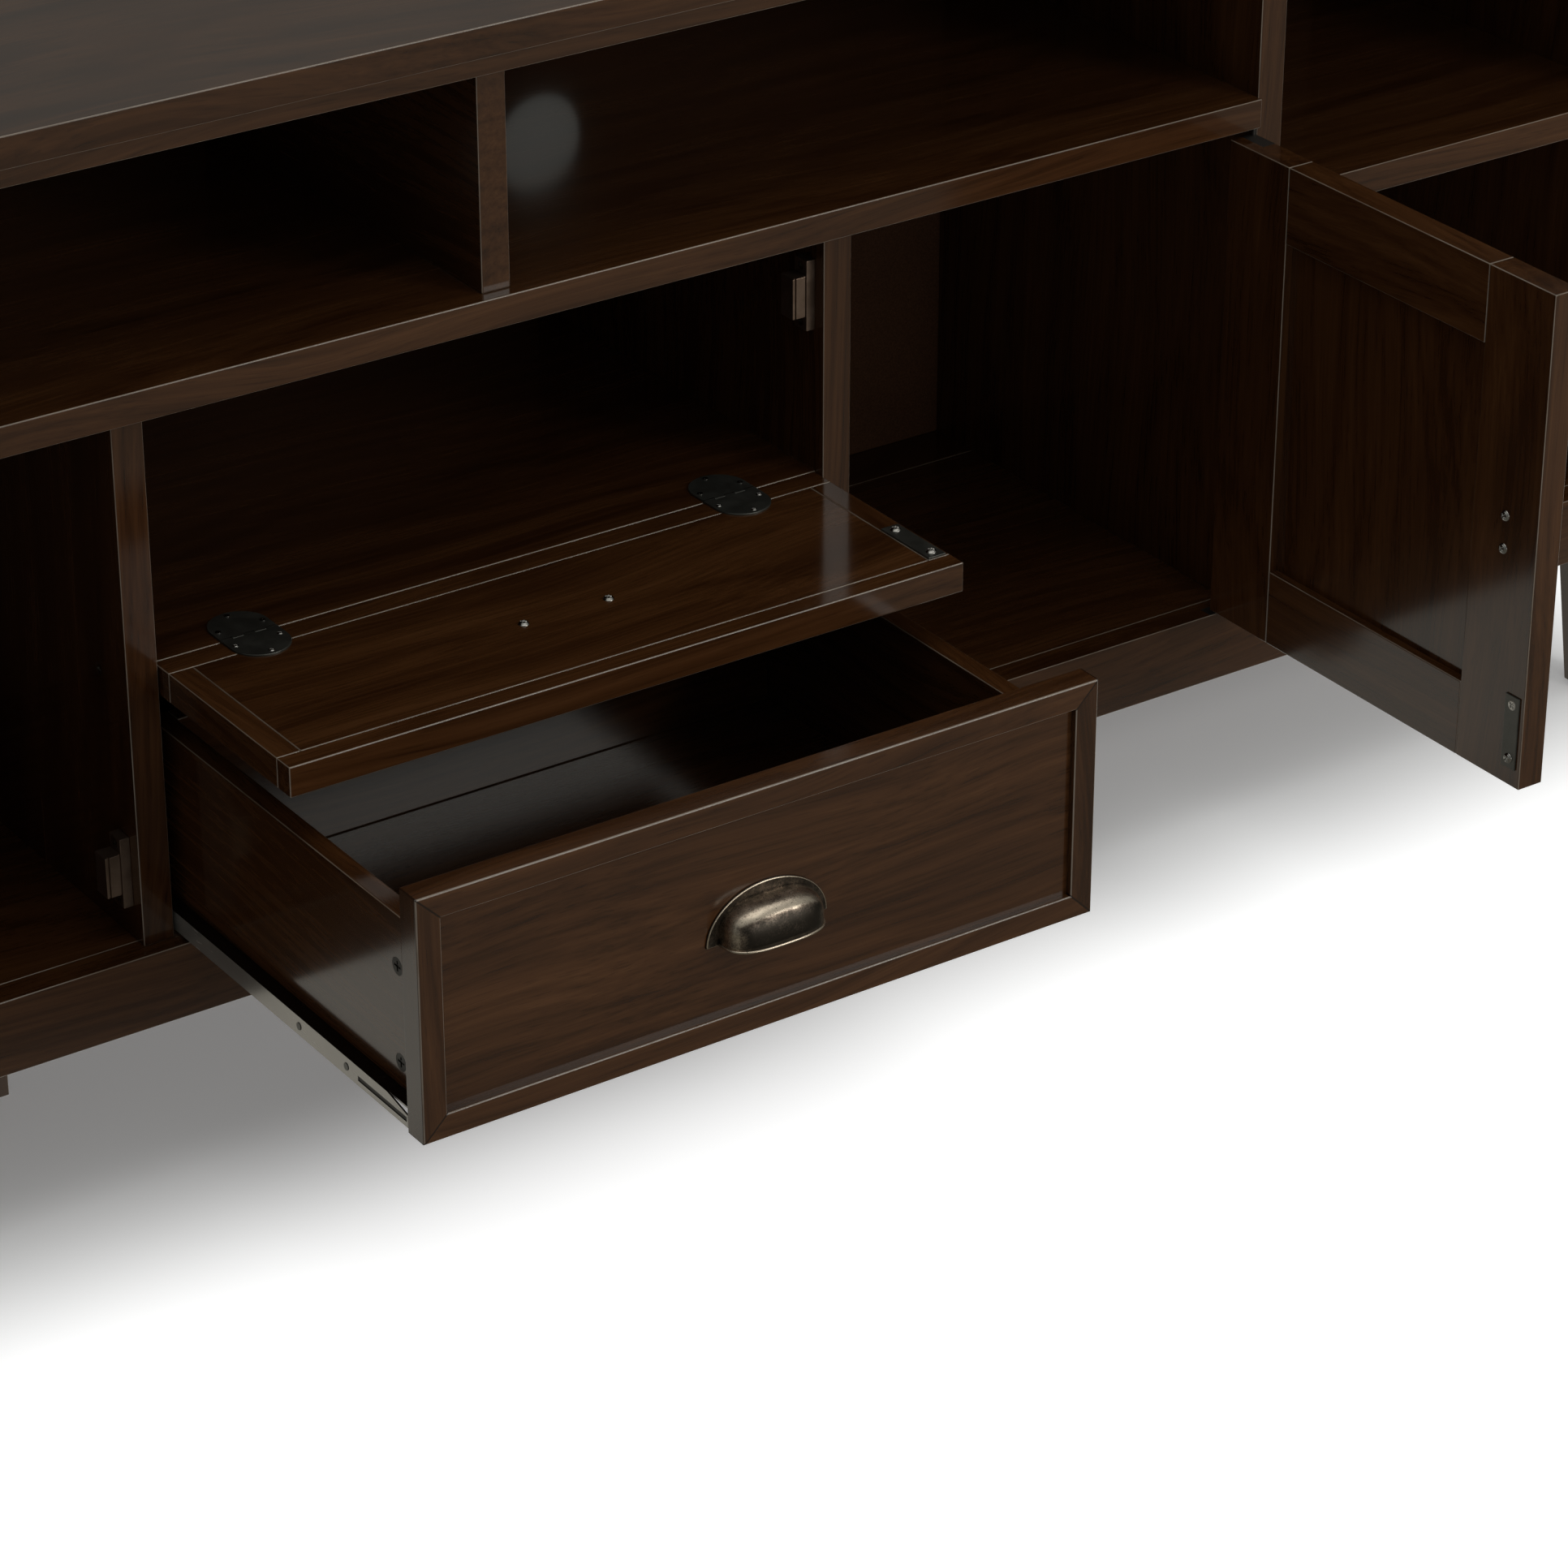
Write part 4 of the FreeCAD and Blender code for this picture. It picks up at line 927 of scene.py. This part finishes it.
def floor_material():
    material, tree, shader = principled("pale floor")
    place = split(tree, coordinates(tree))
    beside = calc(tree, "SUBTRACT", calc(tree, "ABSOLUTE", place["X"]), FOOT_HALF_WIDTH)
    before = calc(tree, "ABSOLUTE", calc(tree, "SUBTRACT", place["Y"], FOOT_MIDDLE_Y))
    before = calc(tree, "SUBTRACT", before, FOOT_HALF_DEPTH)
    away = remap(tree, calc(tree, "MAXIMUM", beside, before), GLOW_FROM, GLOW_TO, GLOW_UNDER, GLOW_OPEN)
    # Painted reflections: mirrors see a warm glow behind the fronts and a darker floor than the eye sees.
    behind = remap(tree, place["Y"], MIRROR_FROM_Y, MIRROR_TO_Y, 0.0, GLOW_BEHIND)
    eye, mirrored = eye_and_mirrors(tree)
    glow = calc(tree, "MULTIPLY_ADD", mirrored, behind, calc(tree, "MULTIPLY", away, eye))
    feed(tree, shader.inputs["Base Color"], mix_colour(tree, mirrored, FLOOR_PALE, FLOOR_MIRRORED))
    feed(tree, shader.inputs["Emission Color"], mix_colour(tree, mirrored, GLOW_WHITE, GLOW_WARM))
    feed(tree, shader.inputs["Emission Strength"], glow)
    shader.inputs["Roughness"].default_value = 0.9
    shader.inputs["Specular IOR Level"].default_value = 0.0
    return material


def make_floor():
    mesh = bpy.data.meshes.new("studio floor")
    corners = [(FLOOR_HALF * x, FLOOR_HALF * y, 0) for x, y in ((-1, -1), (1, -1), (1, 1), (-1, 1))]
    mesh.from_pydata(corners, [], [(0, 1, 2, 3)])
    mesh.materials.append(floor_material())
    floor = bpy.data.objects.new("studio_floor", mesh)
    bpy.context.scene.collection.objects.link(floor)
    return floor


print("floor:", make_floor().name)

# %% [markdown]
# Light
#
# A studio gives broad, soft light. The world is a dim gradient that the eye sees as white, so low views have a
# clean background. Metal and lacquer mirror a part of that white, enough to shine and not enough to turn the
# dark top grey. A large soft box hangs above. A wide, low box in front lights the upright faces more than the
# shelves, which keeps the open bays dark. A small, bright one at the front right runs a thin light along every
# eased edge that faces it. The round cable hole in the back needs no lamp: the shelf mirrors the pale world
# behind it.

# %% World and lamps
SKY = [(0.0, (0.12, 0.123, 0.111)), (0.5, (0.20, 0.205, 0.185)), (1.0, (0.53, 0.535, 0.497))]
SKY_WHITE, WHITE_IN_MIRRORS = (1.0, 1.0, 1.0, 1.0), 0.05
LAMP_COLOUR = (1.0, 0.98, 0.91)


def make_world():
    world = bpy.data.worlds.new("studio")
    world.use_nodes = True
    tree = world.node_tree
    upward = split(tree, coordinates(tree, "Generated"))["Z"]
    sky = ramp(tree, remap(tree, upward, 0.0, 1.0), SKY)
    eye, mirrored = eye_and_mirrors(tree)
    white = calc(tree, "MULTIPLY_ADD", mirrored, WHITE_IN_MIRRORS, eye)
    background = tree.nodes["Background"]
    feed(tree, background.inputs["Color"], mix_colour(tree, white, sky, SKY_WHITE))
    background.inputs["Strength"].default_value = 1.0
    bpy.context.scene.world = world


def soft_box(name, place, aim, width, height, watts):
    lamp = bpy.data.lights.new(name, "AREA")
    lamp.shape = "RECTANGLE"
    lamp.size, lamp.size_y = width, height
    lamp.energy = watts
    lamp.color = LAMP_COLOUR
    holder = bpy.data.objects.new(name, lamp)
    holder.location = place
    holder.rotation_euler = (Vector(aim) - Vector(place)).to_track_quat("-Z", "Y").to_euler()
    bpy.context.scene.collection.objects.link(holder)
    return holder


make_world()
lamps = [
    soft_box("overhead_box", place=(0.2, -0.3, 3.6), aim=(0.0, -0.1, 0.0),
             width=3.0, height=3.0, watts=22.0),
    soft_box("front_box", place=(1.3, -4.0, 0.9), aim=(0.0, 0.0, 0.35),
             width=3.4, height=1.4, watts=48.0),
    soft_box("edge_box", place=(2.0, -3.167, 2.35), aim=(-0.1, -0.067, 0.35),
             width=1.04, height=0.8, watts=18.5),
]
print("lamps:", [lamp.name for lamp in lamps])

# %% [markdown]
# Camera
#
# The photograph looks down from the front left with a long lens, close in on the middle of the cabinet. The
# place, turn and lens come from fitting the perspective of the board edges, so the model drops onto the same
# pixels. A very small shift puts the picture's centre where the lens axis was.

# %% Camera at the photograph's view
CAMERA_PLACE = (-1.5782, -2.6300, 1.8448)
CAMERA_HEADING, CAMERA_TILT = math.radians(-34.39), math.radians(61.54)
SENSOR_MM, LENS_MM = 36.0, 119.97
SHIFT_X, SHIFT_Y = 0.00645, 0.01305
FAR_CLIP = 100.0


def make_camera():
    camera = bpy.data.cameras.new("photo view")
    camera.sensor_width = SENSOR_MM
    camera.lens = LENS_MM
    camera.shift_x, camera.shift_y = SHIFT_X, SHIFT_Y
    camera.clip_end = FAR_CLIP
    holder = bpy.data.objects.new("photo_view", camera)
    turn = Matrix.Rotation(CAMERA_HEADING, 4, "Z") @ Matrix.Rotation(CAMERA_TILT, 4, "X")
    holder.matrix_world = Matrix.Translation(CAMERA_PLACE) @ turn
    bpy.context.scene.collection.objects.link(holder)
    bpy.context.scene.camera = holder
    return holder


print("camera:", tuple(round(v, 3) for v in make_camera().location))
bpy.context.scene.view_settings.view_transform = "Standard"


bpy.context.view_layer.update()
